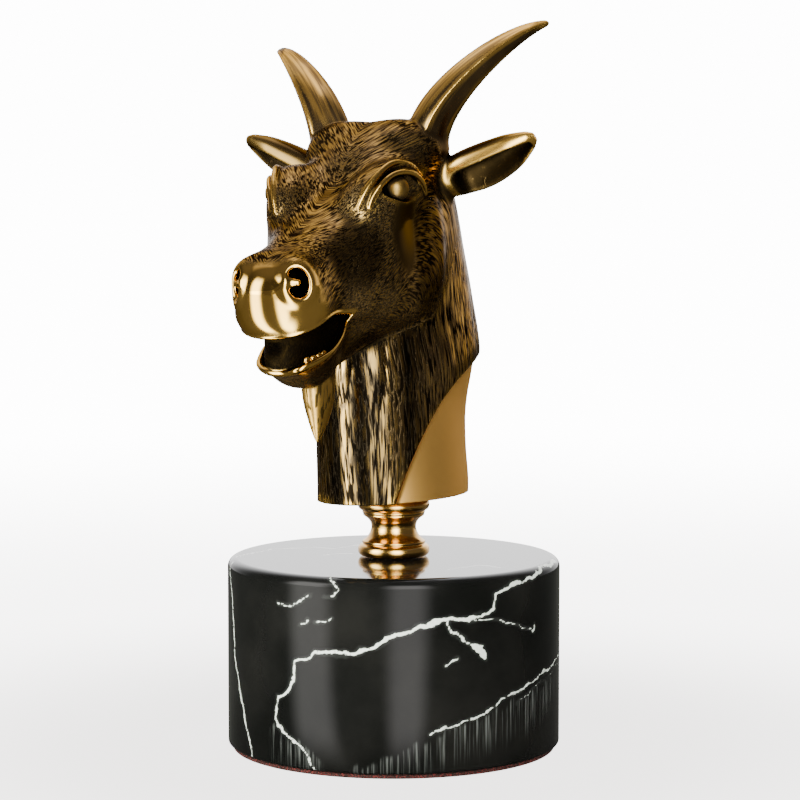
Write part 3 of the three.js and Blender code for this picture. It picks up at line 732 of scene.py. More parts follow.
# Coordinates of the hair's flow in millimetres: across the strokes, along them, and across them out of
# the skin. On the head they turn round a point in the jaw, on rings that follow the head's own outline,
# and on the neck round its axis. On a horn they are the way round it and along it.
def hairFlow(p, areas):
    x, y, z = p
    back, up = y - hair["centre"][0], z - hair["centre"][1]
    angle = np.arctan2(back, up)
    share = np.hypot(back, up) / profile(np.degrees(angle), hair["outline"])
    onFace = np.stack([share * hair["pitch"], angle * hair["pitch"], x], 1)
    turn = turnRoundNeck(x, y)
    bulge = 2.6 * np.sin(np.pi * np.clip((46 - z) / 60, 0, 1)) * np.tanh(turn / 20)
    onNeck = np.stack([np.radians(turn) * 20 - bulge, z, np.hypot(x, y)], 1)
    t, angle, _ = eachHorn(hornMarks, p, 3)
    onHorn = np.stack([angle / 10, t * 50, x * 0], 1)
    flow = np.where(areas["neck"][:, None] > 0.5, onNeck, onFace)
    return np.where(areas["horn"][:, None] > 0.5, onHorn, flow)


# The same for the crown, where the strokes run back and outwards from the middle: straight axes, mirrored.
def crownFlow(p):
    along = np.array(hair["crown"]) / np.linalg.norm(hair["crown"])
    across = np.cross(along, (0, 0, 1))
    across /= np.linalg.norm(across)
    place = np.stack([np.abs(p[0]), p[1], p[2]], 1)
    return np.stack([place @ across, place @ along, place @ np.cross(along, across)], 1)


marks = {
    "hornFoot": 84.0,
    "beardTop": 34.0,
    "earRoot": 14.0,
    "earTip": (33, 37),
    "panel": (18.5, -28.5, 67),
    # degrees round the neck: where the bib's painted shade darkens from, to, and where it clears again,
    # from and to
    "bibShade": (-34, -18, 40, 58),
    # bright columns in it, left free of the painted shade where the soft boxes reflect: degrees round the
    # neck, half widths of the bright and of all, strength
    "reflectionColumns": [(-5, 1.5, 5, 1.0), (31, 4, 9, 0.75)],
    # where painted shade lies darkest on the head, under the eye, at the temple, at the cheek's back and
    # under the jaw: middle and radii
    "waxAndShade": [
        ((14, -47, 64), (7, 9, 9)),
        ((17, -9, 80), (6, 8, 8)),
        ((18, -16, 62), (5, 9, 14)),
        ((8, -38, 36), (9, 22, 7)),
    ],
}


# Masks of the eye: its polished lids and brow, painted shade in the socket and round the lid, and the
# globe.
def eyeMasks(m, x):
    globe, lid = sphere(m, *eye["globe"]), bead(m, eye["upperLid"])
    socket = step(0.5 - ball(m, *eye["socket"]), 0, 0.5) * step(globe, 0, 0.3)
    lids = np.maximum(step(0.45 - lid, 0, 0.3), 0.7 * step(0.5 - bead(m, eye["brow"]), 0, 0.5))
    lidShade = step(1.7 - lid, 0, 0.8) * (1 - lids) * 0.85
    eyeball = step(0.5 - globe, 0, 0.3)
    lids = np.maximum(lids, eyeball * step(x * x, 225, 260))
    return lids, np.maximum(0.75 * socket * (1 - lids), lidShade), eyeball


# Masks of the mouth: its polished lips and teeth, and painted shade in the opening.
def mouthMasks(q, skull):
    y, z = q[1:]
    wedge = mouthWedge(q)
    lips = step(0.3 - lipRoll(skull, wedge, z, 0.7), 0, 0.35) * (z < 51) * step(-y, 43.8, 44.6)
    lips = np.maximum(lips, step(0.4 - teeth(q), 0, 0.3))
    return lips, step(-wedge, -0.3, 0.4) * (1 - lips) * (y < mouth["corner"])


# Painted shade on the bib between its bright columns, where the soft boxes reflect.
def bibShade(turn):
    bright = 0
    for at, half, end, share in marks["reflectionColumns"]:
        bright = np.maximum(bright, share * (1 - step(np.abs(turn - at), half, end)))
    start, full, clearing, end = marks["bibShade"]
    return step(turn, start, full) * (1 - step(turn, clearing, end)) * (1 - bright)


# Masks of the casting's areas, 0 to 1, from how near each point is to each form.
def areasOf(p):
    x, y, z = p
    q, m = sides(p)
    skin = stump(p)
    fur, skull = coat(p, skin), headForm(q, m)
    inEar, lock = eachEar(earHollow, p), beardForm(p)
    onEar = step(1.0 - eachEar(earForm, p), 0, 1) * (np.abs(x) > marks["earRoot"])
    onHorn = step(1.0 - horns(p), 0, 1) * (z > marks["hornFoot"])
    onBeard = step(0.5 - lock, 0, 0.4) * step(marks["beardTop"] - z, 0, 1)
    onNeck = step(skull - np.minimum(fur, skin), -0.6, 0.6)
    coatHair = step(skin - fur, 0.1, 0.7)
    face = (1 - onNeck) * (1 - onHorn) * (1 - onEar) * (1 - onBeard)
    muzzle = step(-y - 0.55 * (z - 55), 60, 65) * step(z, 43, 46) * step(62.3 - z, 0, 1.5)
    # the smooth panel under the eye, which its finish darkens as painted shade
    panel = step(1 - ball(m, marks["panel"], (7, 6.2 + 0.12 * (z - 66), 10.5)), 0, 3.2)
    lids, eyeShade, eyeball = eyeMasks(m, x)
    lips, opening = mouthMasks(q, skull)
    # painted shade on the head at the places listed in marks
    waxAndShade = np.maximum.reduce([step(0.6 - ball(m, *place) / 5, 0, 0.9) for place in marks["waxAndShade"]])
    return {
        "neck": onNeck,
        "coat": onNeck * coatHair * (1 - onBeard),
        "bare": onNeck * (1 - coatHair),
        "horn": onHorn,
        "hornDark": eachHorn(hornMarks, p, 3)[2] * onHorn,
        "ear": onEar,
        # painted shade: the ear's hollow, its outer side and the whole far ear
        "earHollow": onEar * step(1.35 - 0.8 * step(np.abs(x), *marks["earTip"]) - inEar, 0, 0.6),
        "earOuter": onEar * np.maximum(step(inEar, 1.9, 3), 0.85 * (x < 0)),
        "beard": onBeard,
        "beardShade": step(1.5 - lock, 0, 0.6) * (1 - onBeard) * step(marks["beardTop"] - z, 0, 2),
        "polish": np.maximum.reduce([muzzle, lids, lips]) * face,
        "eyeball": eyeball * face,
        "panel": panel * face * (1 - lids),
        "neckShade": bibShade(turnRoundNeck(x, y)) * coatHair * onNeck,
        # painted shade in the mouth's opening, the eye's socket and round the upper lid
        "inside": np.maximum(opening, eyeShade),
        "face": face,
        "shade": waxAndShade * face,
    }


# Points or directions of the casting turned to its lean, towards the goat's right.
def leaning(vectors):
    x, y, z = vectors.T
    x, z = turned(x, z, -casting["leanDegrees"])
    return np.stack([x, y, z], 1)


# The casting: its form on a grid, the net of its skin drawn smooth and back on to the form, thinned, set
# on the collar at its lean, with the masks and flows that its finish reads.
def makeGoat():
    low, high, cell = casting["low"], casting["high"], casting["cell"]
    values = gridOf(goatForm, low, high, cell)
    print("goat: grid", values.shape, "worked out")
    points, faces = surfaceNet(values, low, cell)
    solid = np.clip(0.5 - values / cell, 0, 1)
    creases = crowding(solid, 2)
    solid = solid[::2, ::2, ::2]
    folds, hollows = crowding(solid, 3), crowding(solid[::2, ::2, ::2], 4)
    del values, solid
    print("goat: hollows found")
    for _ in range(3):
        points = relaxed(points, faces)
        normals = normalsOf(points, faces)
        off = goatForm(tuple(points.T.astype(np.float32)))
        points -= normals * np.clip(off, -0.3, 0.3)[:, None]
    points[:, 2] = np.maximum(points[:, 2], 0)
    print("goat: net of", len(faces), "faces")
    points, faces = thinned(points, faces, casting["triangles"])
    print("goat: thinned to", len(faces), "triangles")
    areas = areasOf(tuple(points.T))
    rise = math.tan(math.radians(casting["leanDegrees"])) * casting["seatRadius"]
    foot = boxOf("collar")[1][2] + casting["gap"] + rise
    goat = makeObject("goat_cast", (leaning(points) + (0, 0, foot)) * millimetre, faces)
    normals = slopeOf(goatForm, points, cell / 2)
    goat.data.normals_split_custom_set_from_vertices(leaning(normals))
    areas["crown"] = areas["face"] * step(normals[:, 2] - 0.4 * normals[:, 1], 0.42, 0.56)
    setAttribute(goat, "flow", hairFlow(points.T, areas))
    setAttribute(goat, "crownFlow", crownFlow(points.T))
    setAttribute(goat, "crease", readGrid(creases, points, low, cell))
    setAttribute(goat, "fold", readGrid(folds, points, low, cell * 2))
    setAttribute(goat, "hollow", readGrid(hollows, points, low, cell * 4))
    for name in areas:
        setAttribute(goat, name, areas[name])
    return goat


# Turned pieces


# Lathe: an outline of (radius, height), from the axis to the axis, turned round in equal steps.
def lathe(name, outline, sides):
    outline = np.array(outline, np.float64)
    ring = outline[1:-1]
    angle = np.arange(sides) * 2 * np.pi / sides
    x, y = np.outer(ring[:, 0], np.cos(angle)), np.outer(ring[:, 0], np.sin(angle))
    z = np.repeat(ring[:, 1:], sides, 1)
    points = np.stack([x, y, z], -1).reshape(-1, 3)
    points = np.concatenate([points, [[0, 0, outline[0, 1]], [0, 0, outline[-1, 1]]]])
    row, j = np.meshgrid(np.arange(len(ring) - 1) * sides, np.arange(sides), indexing="ij")
    k = (j + 1) % sides
    quads = np.stack([row + j, row + k, row + sides + k, row + sides + j], -1).reshape(-1, 4)
    j, k = np.arange(sides), (np.arange(sides) + 1) % sides
    last = (len(ring) - 1) * sides
    bottom = np.stack([k, j, j * 0 + len(points) - 2], 1)
    top = np.stack([last + j, last + k, j * 0 + len(points) - 1], 1)
    faces = np.concatenate([quads[:, [0, 1, 2]], quads[:, [0, 2, 3]], bottom, top])
    return makeObject(name, points * millimetre, faces)


# Arc of an outline round (radius, height), between two angles in degrees.
def arc(radius, height, size, start, end, steps):
    angle = np.radians(np.linspace(start, end, steps + 1))
    return list(zip(radius + size * np.cos(angle), height + size * np.sin(angle)))


drum = {
    "rim": 2.4,
    "footRim": 0.8,
    "sides": 560,
    "rows": 90,
    # white veins as seen from the photograph's camera: half width in millimetres, then stops of the share
    # across the front, from -1 to 1, and the share of the height
    "veins": [
        (0.3, [(-0.98, 0.99), (-0.96, 0.85), (-0.94, 0.5), (-0.89, 0.27), (-0.83, 0.02)]),
        (0.34, [(0.99, 0.99), (0.89, 1), (0.81, 0.96), (0.68, 0.94), (0.58, 0.9)]),
        (0.34, [(0.58, 0.9), (0.57, 0.83), (0.46, 0.79)]),
        (0.42, [(0.46, 0.79), (0.29, 0.79), (0.12, 0.75), (-0.02, 0.71), (-0.12, 0.65), (-0.24, 0.62)]),
        (0.34, [(-0.24, 0.62), (-0.46, 0.61), (-0.48, 0.59), (-0.57, 0.55), (-0.58, 0.45), (-0.62, 0.38)]),
        (0.28, [(-0.62, 0.38), (-0.67, 0.35), (-0.68, 0.28), (-0.67, 0.21), (-0.58, 0.14)]),
        (0.28, [(-0.58, 0.14), (-0.49, 0.08), (-0.46, 0)]),
        (0.22, [(0.43, 0.78), (0.6, 0.77), (0.75, 0.71), (0.82, 0.68), (0.82, 0.71)]),
        (0.28, [(0.29, 0.79), (0.32, 0.73), (0.39, 0.69), (0.45, 0.66), (0.51, 0.64)]),
        (0.75, [(0.46, 0.65), (0.51, 0.61), (0.52, 0.59)]),
        (0.26, [(0.3, 0.55), (0.33, 0.58), (0.36, 0.59)]),
        (0.2, [(-0.37, 1), (-0.34, 0.97), (-0.32, 0.94), (-0.35, 0.91), (-0.4, 0.91)]),
        (0.2, [(-0.48, 0.9), (-0.54, 0.87), (-0.58, 0.85), (-0.67, 0.85)]),
        (0.16, [(-0.54, 0.75), (-0.49, 0.78)]),
        (0.16, [(-0.45, 0.77), (-0.38, 0.77), (-0.35, 0.79)]),
        (0.24, [(0.21, 0.2), (0.27, 0.23), (0.37, 0.25), (0.49, 0.28), (0.61, 0.34), (0.62, 0.36)]),
        (0.24, [(0.62, 0.36), (0.75, 0.39), (0.84, 0.43), (0.99, 0.5)]),
        (0.06, [(0.71, 0.32), (0.83, 0.38), (0.93, 0.42), (0.99, 0.46)]),
    ],
    # the same over the top, as shares of the radius to the right and away from the camera
    "topVeins": [
        (0.35, [(-0.98, -0.1), (-0.86, 0.1), (-0.74, 0.28), (-0.5, 0.36)]),
        (0.35, [(-0.5, 0.36), (-0.36, 0.3), (-0.2, 0.5), (0.1, 0.62)]),
        (0.3, [(-0.42, 0.02), (-0.3, 0.1), (-0.18, 0.06)]),
        (0.3, [(0.3, -0.6), (0.5, -0.4), (0.62, -0.5)]),
    ],
    # bands of white drips above the foot: from and to across the front, height of their top at each end
    "drips": [(-0.72, -0.4, 0.22, 0.06), (-0.25, 0.25, 0.02, 0.2), (0.2, 0.97, 0.2, 0.42)],
}


# Distance from points in a plane to a line of stops, less its half width.
def lineDistance(u, v, stops, halfWidth):
    nearest = np.full(u.shape, 1e3)
    for (a, b), (c, d) in zip(stops[:-1], stops[1:]):
        t = np.clip(((u - a) * (c - a) + (v - b) * (d - b)) / ((c - a) ** 2 + (d - b) ** 2), 0, 1)
        nearest = np.minimum(nearest, np.hypot(u - a - t * (c - a), v - b - t * (d - b)))
    return nearest - halfWidth


# Distance to the nearest vein, whose stops are moved to the plane of (u, v) by the function placed.
def nearestVein(u, v, veins, placed):
    found = [lineDistance(u, v, [placed(*stop) for stop in stops], halfWidth) for halfWidth, stops in veins]
    return np.minimum.reduce(found)


# How far a vein strays from its line: two sizes of grain.
def stray(u, v, salt):
    return 0.5 * grain(u / 2, v / 2, salt) + 0.2 * grain(u / 0.7, v / 0.7, salt + 1)


# Veins as a distance on the drum's skin, on the side by the way round and the height, on the top in plan.
# With them, how thick the drips lie under their wavy upper edges, and the place round the side.
def veinsOf(points, radius, low, high):
    x, y, z = points.T
    right, away = directionAt(90), -directionAt(0)
    across, deep = x * right[0] + y * right[1], x * away[0] + y * away[1]
    arcLength, up = np.arctan2(across, -deep) * radius, z - low
    u, v = arcLength + stray(arcLength, up, 11), up + stray(arcLength, up, 13)
    side = nearestVein(u, v, drum["veins"], lambda a, b: (math.asin(a) * radius, b * (high - low)))
    v = deep + 0.6 * grain(across / 3, deep / 3, 15)
    top = nearestVein(across, v, drum["topVeins"], lambda a, b: (a * radius, b * radius))
    drips = np.zeros(len(x))
    for first, last, left, right in drum["drips"]:
        share = (np.sin(arcLength / radius) - first) / (last - first)
        inside = step(share, -0.02, 0.06) * (1 - step(share, 0.92, 1.02)) * (deep < 0)
        crown = (left + (right - left) * share) * (high - low) + 1.2 * grain(arcLength / 1.3, 0, 16)
        drips = np.maximum(drips, inside * step(crown - up, 0, 1) * step(up - crown + 12, 0, 11))
    onTop = z > high - 0.05
    return np.where(onTop, top, side), drips, np.stack([arcLength, up, onTop * 1.0], 1)


# Drum: the lathe of straight side and top between rounded rims, fine enough for the veins' edges.
def makeDrum():
    low, high = boxOf("marble_base")
    radius = (high[0] - low[0]) / 2
    outline = [(0, low[2]), (radius - 12, low[2])]
    outline += arc(radius - drum["footRim"], low[2] + drum["footRim"], drum["footRim"], -90, 0, 8)
    outline += [(radius, z) for z in np.linspace(low[2] + 1.4, high[2] - drum["rim"] - 0.5, drum["rows"])]
    outline += arc(radius - drum["rim"], high[2] - drum["rim"], drum["rim"], 0, 90, 14)
    outline += [(r, high[2]) for r in np.linspace(radius - 3.2, 11, 34)] + [(0, high[2])]
    made = lathe("marble_drum", outline, drum["sides"])
    places = np.empty(len(made.data.vertices) * 3, np.float32)
    made.data.vertices.foreach_get("co", places)
    places = places.reshape(-1, 3).astype(np.float64) / millimetre
    for name, values in zip(("vein", "drips", "around"), veinsOf(places, radius, low[2], high[2])):
        setAttribute(made, name, values)
    return made


# Outline of the turned collar, in (radius, height above its foot), as measured beads and hollows.
collar = {
    "sides": 128,
    "outline": [
        (8.4, 0), (8.75, 0.25), (9.05, 0.7), (9.18, 1.3), (9.1, 1.95), (8.8, 2.5), (8.35, 2.85), (8.05, 3),
        (8, 3.15), (8.08, 3.45), (7.98, 3.75), (7.6, 4), (7.05, 4.45), (6.5, 5.1), (6.05, 5.9), (5.8, 6.7),
        (5.72, 7.4), (5.85, 8.2), (6.2, 8.9), (6.75, 9.5), (7.4, 10), (7.75, 10.25), (7.85, 10.45),
        (7.82, 10.75), (8, 10.95), (8.05, 11.25), (8, 11.5), (8.5, 11.75), (8.95, 12.2), (9.13, 12.8),
        (9.13, 13.3), (8.95, 13.85), (8.6, 14.3), (8.2, 14.5),
    ],
}


# Collar: the lathe of a smooth line through the outline's stops.
def makeCollar():
    low = boxOf("collar")[0][2]
    stops = np.array(collar["outline"])
    share = np.arange(len(stops))
    fine = np.linspace(0, len(stops) - 1, 4 * len(stops))
    radius = profile(fine, np.stack([share, stops[:, 0]], 1))
    height = profile(fine, np.stack([share, stops[:, 1]], 1))
    outline = [(0, low)] + list(zip(radius, height + low)) + [(0, low + stops[-1, 1])]
    return lathe("turned_collar", outline, collar["sides"])


pad = {
    "sides": 192,
    "rim": 0.35,
}


# Pad: the lathe of a thin disc with round edges.
def makePad():
    low, high = boxOf("felt_pad")
    radius = (high[0] - low[0]) / 2
    rim = pad["rim"]
    outline = [(0, low[2]), (radius * 0.5, low[2]), (radius - 0.5, low[2])]
    outline += arc(radius - rim, low[2] + rim, rim, -90, 0, 3)
    outline += arc(radius - rim, high[2] - rim, rim, 0, 90, 3) + [(radius * 0.5, high[2]), (0, high[2])]
    return lathe("felt_foot", outline, pad["sides"])


# Finishes


# A node's output that takes part in Python sums.
class Wire:
    def __init__(self, finish, output):
        self.finish = finish
        self.output = output

    def math(self, operation, first, second):
        return self.finish.math(operation, first, second)

    def __add__(self, other):
        return self.math("ADD", self, other)

    def __sub__(self, other):
        return self.math("SUBTRACT", self, other)

    def __mul__(self, other):
        return self.math("MULTIPLY", self, other)

    def __rsub__(self, other):
        return self.math("SUBTRACT", other, self)

    def __neg__(self):
        return self.math("MULTIPLY", self, -1)

    __radd__ = __add__
    __rmul__ = __mul__


# A material, or the world, and the few ways in which its nodes are made.
class Finish:
    def __init__(self, name, world=False):
        self.material = (bpy.data.worlds if world else bpy.data.materials).new(name)
        self.material.use_nodes = True
        self.tree = self.material.node_tree
        self.shader = self.tree.nodes["Background" if world else "Principled BSDF"]

    def node(self, kind, settings=None, sockets=None, output=0):
        made = self.tree.nodes.new("ShaderNode" + kind)
        for name, value in (settings or {}).items():
            setattr(made, name, value)
        for name, value in (sockets or {}).items():
            self.plug(made.inputs[name], value)
        return Wire(self, made.outputs[output])

    def plug(self, socket, value):
        if isinstance(value, Wire):
            self.tree.links.new(value.output, socket)
        else:
            socket.default_value = value

    def math(self, operation, first, second=0.0):
        return self.node("Math", {"operation": operation}, {0: first, 1: second})

    def attribute(self, name, output="Fac"):
        return self.node("Attribute", {"attribute_name": name}, output=output)

    def masks(self, names):
        return [self.attribute(name) for name in names.split()]

    def place(self):
        return self.node("TexCoord", output="Object")

    # noise whose patches are as small as the scales are large, one scale or one along each axis
    def noise(self, vector, scales, detail):
        scales = scales if isinstance(scales, tuple) else (scales,) * 3
        scaled = self.node("VectorMath", {"operation": "MULTIPLY"}, {0: vector, 1: scales})
        return self.node("TexNoise", {}, {"Vector": scaled, "Scale": 1.0, "Detail": detail})

    def along(self, vector, direction):
        settings = {"operation": "DOT_PRODUCT"}
        return self.node("VectorMath", settings, {0: vector, 1: tuple(direction)}, output=1)

    def ramp(self, value, low, high):
        settings = {"interpolation_type": "SMOOTHSTEP"}
        return self.node("MapRange", settings, {"Value": value, "From Min": low, "From Max": high})

    def mix(self, factor, first, second):
        first, second = ((*c, 1) if isinstance(c, tuple) and len(c) == 3 else c for c in (first, second))
        return self.node("Mix", {"data_type": "RGBA"}, {0: factor, 6: first, 7: second}, output=2)

    def most(self, first, *others):
        for other in others:
            first = self.math("MAXIMUM", first, other)
        return first

    def bump(self, height, strength, distance):
        return self.node("Bump", {}, {"Height": height, "Strength": strength, "Distance": distance})

    def set(self, **sockets):
        for name, value in sockets.items():
            self.plug(self.shader.inputs[name.replace("_", " ")], value)


brass = {
    "gold": ((0.8, 0.44, 0.1), (0.93, 0.54, 0.14)),
    "patina": ((0.12, 0.074, 0.036), (0.25, 0.155, 0.075)),
    # brown of the painted shade, of the eye's globe and of the crown; then the painted shade on the neck's
    # bib
    "brown": (0.042, 0.025, 0.012),
    "neckShadeBrown": (0.026, 0.018, 0.012),
    "bare": ((0.95, 0.52, 0.15), (0.8, 0.42, 0.12)),
    # black of the wax in the strokes and of the painted shade in creases and holes
    "waxAndShade": (0.003, 0.002, 0.0013),
    # width and length of the graver's strokes, in millimetres
    "faceStroke": (0.33, 6.0),
    "crownStroke": (0.34, 5.5),
    "neckStroke": (0.45, 8.0),
}


# Cast brass, aged: gold where it is worn, brown patina between, black wax in the strokes, painted shade in
# hollows, creases and shaded places. The strokes are long thin patches of noise, deep and dark where it is
# high and worn bright where it is low.
def castBrass():
    f = Finish("cast_brass_antique")
    place, flow, crownFlow = f.place(), f.attribute("flow", "Vector"), f.attribute("crownFlow", "Vector")
    crease, fold, hollow, inside, beardShade = f.masks("crease fold hollow inside beardShade")
    onFace, onHorn, onEar, onBeard, bare, coatHair = f.masks("face horn ear beard bare coat")
    polish, panel, shade, eyeball, neckShade = f.masks("polish panel shade eyeball neckShade")
    inEar, earOuter, hornDark = f.masks("earHollow earOuter hornDark")
    cloud, patches = f.noise(place, 60, 3.0), f.noise(place, 170, 2.0)

    def strokes(vector, size):
        across, along = size
        return f.noise(vector, (1 / across, 1 / along, 1 / across), 1.5)

    furred = onFace * (1 - f.most(polish, panel))
    crown = f.ramp(f.attribute("crown") + (patches - 0.5) * 1.5, 0.45, 0.55)
    faceLines = strokes(flow, brass["faceStroke"])
    faceLines = faceLines + (strokes(crownFlow, brass["crownStroke"]) - faceLines) * crown
    neckLines = strokes(flow, brass["neckStroke"])
    faceCuts = f.ramp(faceLines + (patches - 0.5) * 0.4, 0.5, 0.58) * furred
    neckCuts = f.ramp(neckLines + (patches - 0.5) * 0.25, 0.51, 0.58) * coatHair
    faceTone, neckTone = f.ramp(faceLines, 0.38, 0.48), f.ramp(neckLines, 0.38, 0.48)
    streaks = f.noise(flow, (0.7, 0.05, 1.0), 3.0)
    grooves = f.ramp(f.noise(place, (1100, 1100, 130), 1.0), 0.55, 0.61) * onBeard
    earHair = f.ramp(f.noise(place, (900, 900, 500), 3.0), 0.61, 0.69) * inEar

    # how dark: wax in the strokes and grooves, painted shade in creases, hollows, the ear, the mouth, the
    # eye and round the beard
    creaseShade = f.most(f.ramp(crease, 0.53, 0.64), f.ramp(fold, 0.54, 0.68), f.ramp(hollow, 0.60, 0.76))
    holeShade = f.most(inEar * (0.4 + patches * 0.6), inside * 0.98, beardShade * 0.85)
    dark = f.most(creaseShade, holeShade, faceCuts * 0.9, neckCuts * 0.95, grooves * 0.9) * (1 - earHair)

    # how far from gold to patina, and from there to brown; painted shade on the panel under the eye, the
    # ear, the horn's band and far edge and the shaded places of the head
    ageAndShade = furred * (0.5 + faceTone * 0.55) + panel * 0.8 + coatHair * (0.5 + neckTone * 0.5) + eyeball
    ageAndShade = ageAndShade + onBeard * 0.42 + earOuter * 0.9 + inEar * 0.5 + hornDark * 0.75
    ageAndShade = ageAndShade + (f.ramp(streaks, 0.42, 0.62) * 0.55 + 0.25) * onHorn
    ageAndShade = ageAndShade * (1 - f.ramp(crease, 0.48, 0.38) * 0.8)
    brown = f.most(shade * (0.6 + patches * 0.4), panel * 0.9, eyeball * 0.7)
    brown = f.most(brown, crown * onFace * 0.5, inEar, earOuter * 0.95)

    gold = f.mix(f.ramp(cloud, 0.3, 0.7), *brass["gold"])
    patina = f.mix(f.ramp(cloud, 0.35, 0.7), *brass["patina"])
    colour = f.mix(brown * 0.9, f.mix(ageAndShade, gold, patina), brass["brown"])
    # painted shade on the neck's bib between the soft boxes' reflections
    colour = f.mix(neckShade * (0.78 + neckTone * 0.2), colour, brass["neckShadeBrown"])
    colour = f.mix(bare, colour, f.mix(cloud, *brass["bare"]))
    f.set(Base_Color=f.mix(dark, colour, brass["waxAndShade"]))
    f.set(Metallic=1.0)
    rough = 0.1 + dark * 0.3 + f.ramp(cloud, 0.3, 0.8) * 0.04 + furred * 0.18 + bare * 0.36
    rough = rough + onHorn * 0.1 + coatHair * 0.07 + eyeball * 0.28
    f.set(Roughness=rough + f.most(onBeard, onEar * 0.6) * 0.25)
    f.set(Specular_Tint=(0.42, 0.39, 0.37, 1))
    height = (1 - faceCuts) * furred * 0.7 + (1 - neckCuts) * coatHair * 0.4 + cloud * 0.1 + earHair * 0.4
    f.set(Normal=f.bump(height, 0.8, 0.00012))
    return f.material


# Turned brass: fine rings left by the tool, and a slow change of colour.
def turnedBrass():
    f = Finish("turned_brass")
    place = f.place()
    rings, cloud = f.noise(place, (120, 120, 9000), 2.0), f.noise(place, 90, 3.0)
    f.set(Base_Color=f.mix(f.ramp(cloud, 0.3, 0.75), (0.86, 0.5, 0.15), (0.7, 0.38, 0.1)))
    f.set(Metallic=1.0)
    f.set(Roughness=0.12 + rings * 0.08)
    f.set(Normal=f.bump(rings, 0.15, 0.0002))
    return f.material


marble = {
    "stone": ((0.004, 0.004, 0.004), (0.012, 0.011, 0.011)),
    "haze": (0.5, 0.5, 0.52),
    "vein": (0.93, 0.93, 0.93),
    "coatFrom": 0.0476,  # heights in metres between which the polish of the top sets in
    "coatTo": 0.0489,
}


# Black marble: cloudy stone, white within a vein's distance, a halo by it and drips as upright streaks.
def blackMarble():
    f = Finish("black_marble")
    place = f.place()
    vein, drips = f.masks("vein drips")
    cloud, rough = f.noise(place, 40, 4.0), f.noise(place, 1500, 2.0)
    white = f.ramp(vein + (rough - 0.5) * 0.5, 0.06, -0.1)
    halo = f.ramp(vein, 0.8, 0.0) * 0.03
    streaks = f.ramp(f.noise(f.attribute("around", "Vector"), (1.5, 0.05, 1.0), 3.0), 0.45, 0.8)
    stone = f.mix(f.ramp(cloud, 0.35, 0.8), *marble["stone"])
    stone = f.mix(f.most(halo, streaks * drips * 0.28), stone, marble["haze"])
    f.set(Base_Color=f.mix(white * (0.75 + rough * 0.4), stone, marble["vein"]))
    f.set(Roughness=0.09 + cloud * 0.04)
    f.set(Specular_Tint=(0.97, 0.86, 1, 1))
    f.set(Specular_IOR_Level=0.11)
    height = f.node("SeparateXYZ", {}, {0: place}, output=2)
    f.set(Coat_Weight=f.ramp(height, marble["coatFrom"], marble["coatTo"]) * 0.5)
    return f.material


# Felt: short red fibres on a dark ground.
def darkFelt():
    f = Finish("dark_felt")
    fibres = f.noise(f.place(), 2500, 3.0)
    f.set(Base_Color=f.mix(f.ramp(fibres, 0.45, 0.7), (0.02, 0.006, 0.006), (0.22, 0.03, 0.03)))
    f.set(Roughness=0.95)
    f.set(Normal=f.bump(fibres, 0.5, 0.0002))
    return f.material


# Gives a piece its finish, hangs it on the root and hides the imported part of the node that it stands for.
def dress(obj, material, node):
    obj.data.materials.append(material)
    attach(obj, "root")
    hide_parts(node)


dress(makeGoat(), castBrass(), "goat_head")
print("goat done")
dress(makeCollar(), turnedBrass(), "collar")
dress(makeDrum(), blackMarble(), "marble_base")
dress(makePad(), darkFelt(), "felt_pad")
print("stand done")


# Studio


# The photograph's camera, level with the head and tilted a little down.
def makeCamera():
    data = bpy.data.cameras.new("photo_camera")
    data.lens = studio["lens"]
    data.sensor_width = 36.0
    data.shift_x = studio["shiftX"]
    data.clip_end = 20
    camera = bpy.data.objects.new("photo_camera", data)
    camera.location = directionAt(0) * studio["distance"] * millimetre
    camera.location.z = studio["height"] * millimetre
    camera.rotation_euler = (math.radians(90 - studio["tiltDown"]), 0, math.radians(studio["photoAzimuth"]))
    bpy.context.scene.collection.objects.link(camera)
    bpy.context.scene.camera = camera


# Brightness round the object by level direction, in degrees from the photograph's camera towards the
# viewer's right: two tall soft boxes, the white backdrop behind, and a dim room on the camera's side.
surroundings = {
    "boxes": [
        {"middle": -61, "half": 14, "soft": 7, "bright": 17.0},
        {"middle": 10, "half": 13, "soft": 8, "bright": 16.0},
    ],
    "boxFoot": (-0.55, -0.45),  # upward share of a direction over which a box begins
    "boxTop": (0.45, 0.75),
    "tint": (1.0, 1.09, 0.92),
    "room": 0.1,
    "ceiling": 0.3,
    "ceilingEdge": (0.5, 0.95),
    "backdrop": 2.8,
    "backdropLeft": -140,
    "backdropRight": 138,
    "backdropSoft": 32,
    "seenWhite": 14.0,
}


# Level turn of a direction, in degrees from the photograph's camera, and as seen from a place ahead.
def turnOf(f, vector, ahead):
    front = f.along(vector, directionAt(0)) - ahead
    return f.math("ARCTAN2", f.along(vector, directionAt(90)), front) * (180 / math.pi)


# 1 inside the width of a soft box, fading to 0 over its soft edges.
def acrossBox(f, turn, box):
    off = f.math("ABSOLUTE", turn - box["middle"])
    return 1 - f.ramp(off, box["half"] - box["soft"], box["half"] + box["soft"])


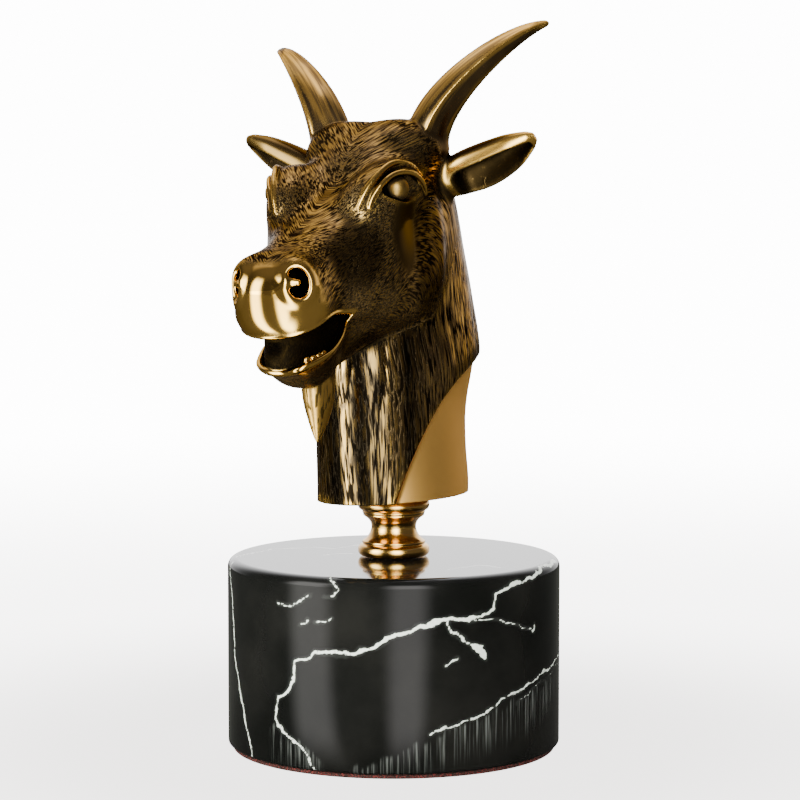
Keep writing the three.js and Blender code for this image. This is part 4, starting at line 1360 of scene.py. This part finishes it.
# The light: backdrop, room and ceiling faded into one another, and the soft boxes added.
def makeWorld():
    f = Finish("studio", world=True)
    bpy.context.scene.world = f.material
    direction = f.node("TexCoord", output=0)
    turn, up = turnOf(f, direction, 0), f.along(direction, (0, 0, 1))
    s = surroundings
    soft = s["backdropSoft"]
    behind = f.ramp(turn, s["backdropRight"] - soft, s["backdropRight"] + soft)
    behind = behind + f.ramp(-turn, -s["backdropLeft"] - soft, -s["backdropLeft"] + soft)
    bright = s["room"] + behind * (s["backdrop"] - s["room"])
    bright = bright + f.ramp(up, *s["ceilingEdge"]) * (s["ceiling"] - s["room"])
    boxes = 0.0
    for box in s["boxes"]:
        boxes = boxes + acrossBox(f, turn, box) * box["bright"]
    boxes = boxes * f.ramp(up, *s["boxFoot"]) * (1 - f.ramp(up, *s["boxTop"]))
    lit = f.node("CombineXYZ", {}, {n: bright + boxes * s["tint"][n] for n in range(3)})
    f.plug(f.shader.inputs["Strength"], 1.0)
    f.plug(f.shader.inputs["Color"], f.mix(f.node("LightPath", output=0), lit, (s["seenWhite"],) * 3))


# The floor as the camera and as reflections see it, with distances in metres from the drum's axis.
ground = {
    "size": 12.0,
    "glow": 14.0,
    "paint": ((0.085, 0.083, 0.08), (0.1, 0.098, 0.095)),
    "shade": ((0.24, 0.232, 0.228), (0.46, 0.45, 0.445)),
    "shadeEdge": (0.06, 0.24),
    "whiteEdge": (0.22, 0.9),
    "pool": 0.6,
    "poolEdge": (0.05, 0.1),
    "poolFrom": 0.035,
}


# Floor: a glow with painted shade round the drum and white far off, and painted pools of the soft boxes'
# light in reflections.
def makeFloor():
    half = ground["size"] / 2
    points = np.array([[-half, -half, 0], [half, -half, 0], [half, half, 0], [-half, half, 0]])
    floor = makeObject("studio_floor", points, np.array([[0, 1, 2, 3]]))
    f = Finish("pale_floor")
    place = f.place()
    f.set(Base_Color=f.mix(f.noise(place, 3, 2.0), *ground["paint"]))
    f.set(Roughness=0.6)
    f.set(Specular_IOR_Level=0.0)
    away = f.node("VectorMath", {"operation": "LENGTH"}, {0: place}, output=1)
    shade = f.mix(f.ramp(away, *ground["shadeEdge"]), *ground["shade"])
    seen = f.mix(f.ramp(away, *ground["whiteEdge"]), shade, (1, 1, 1))
    turn, pools = turnOf(f, place, ground["poolFrom"]), 0.0
    for box in surroundings["boxes"]:
        pools = pools + acrossBox(f, turn, box)
    pools = pools * f.ramp(away, *ground["poolEdge"]) * ground["pool"]
    reflected = f.node("CombineXYZ", {}, {n: pools * surroundings["tint"][n] for n in range(3)})
    f.set(Emission_Color=f.mix(f.node("LightPath", output=0), reflected, seen))
    f.set(Emission_Strength=ground["glow"])
    floor.data.materials.append(f.material)


makeCamera()
makeWorld()
makeFloor()
print("studio done")

bpy.context.view_layer.update()
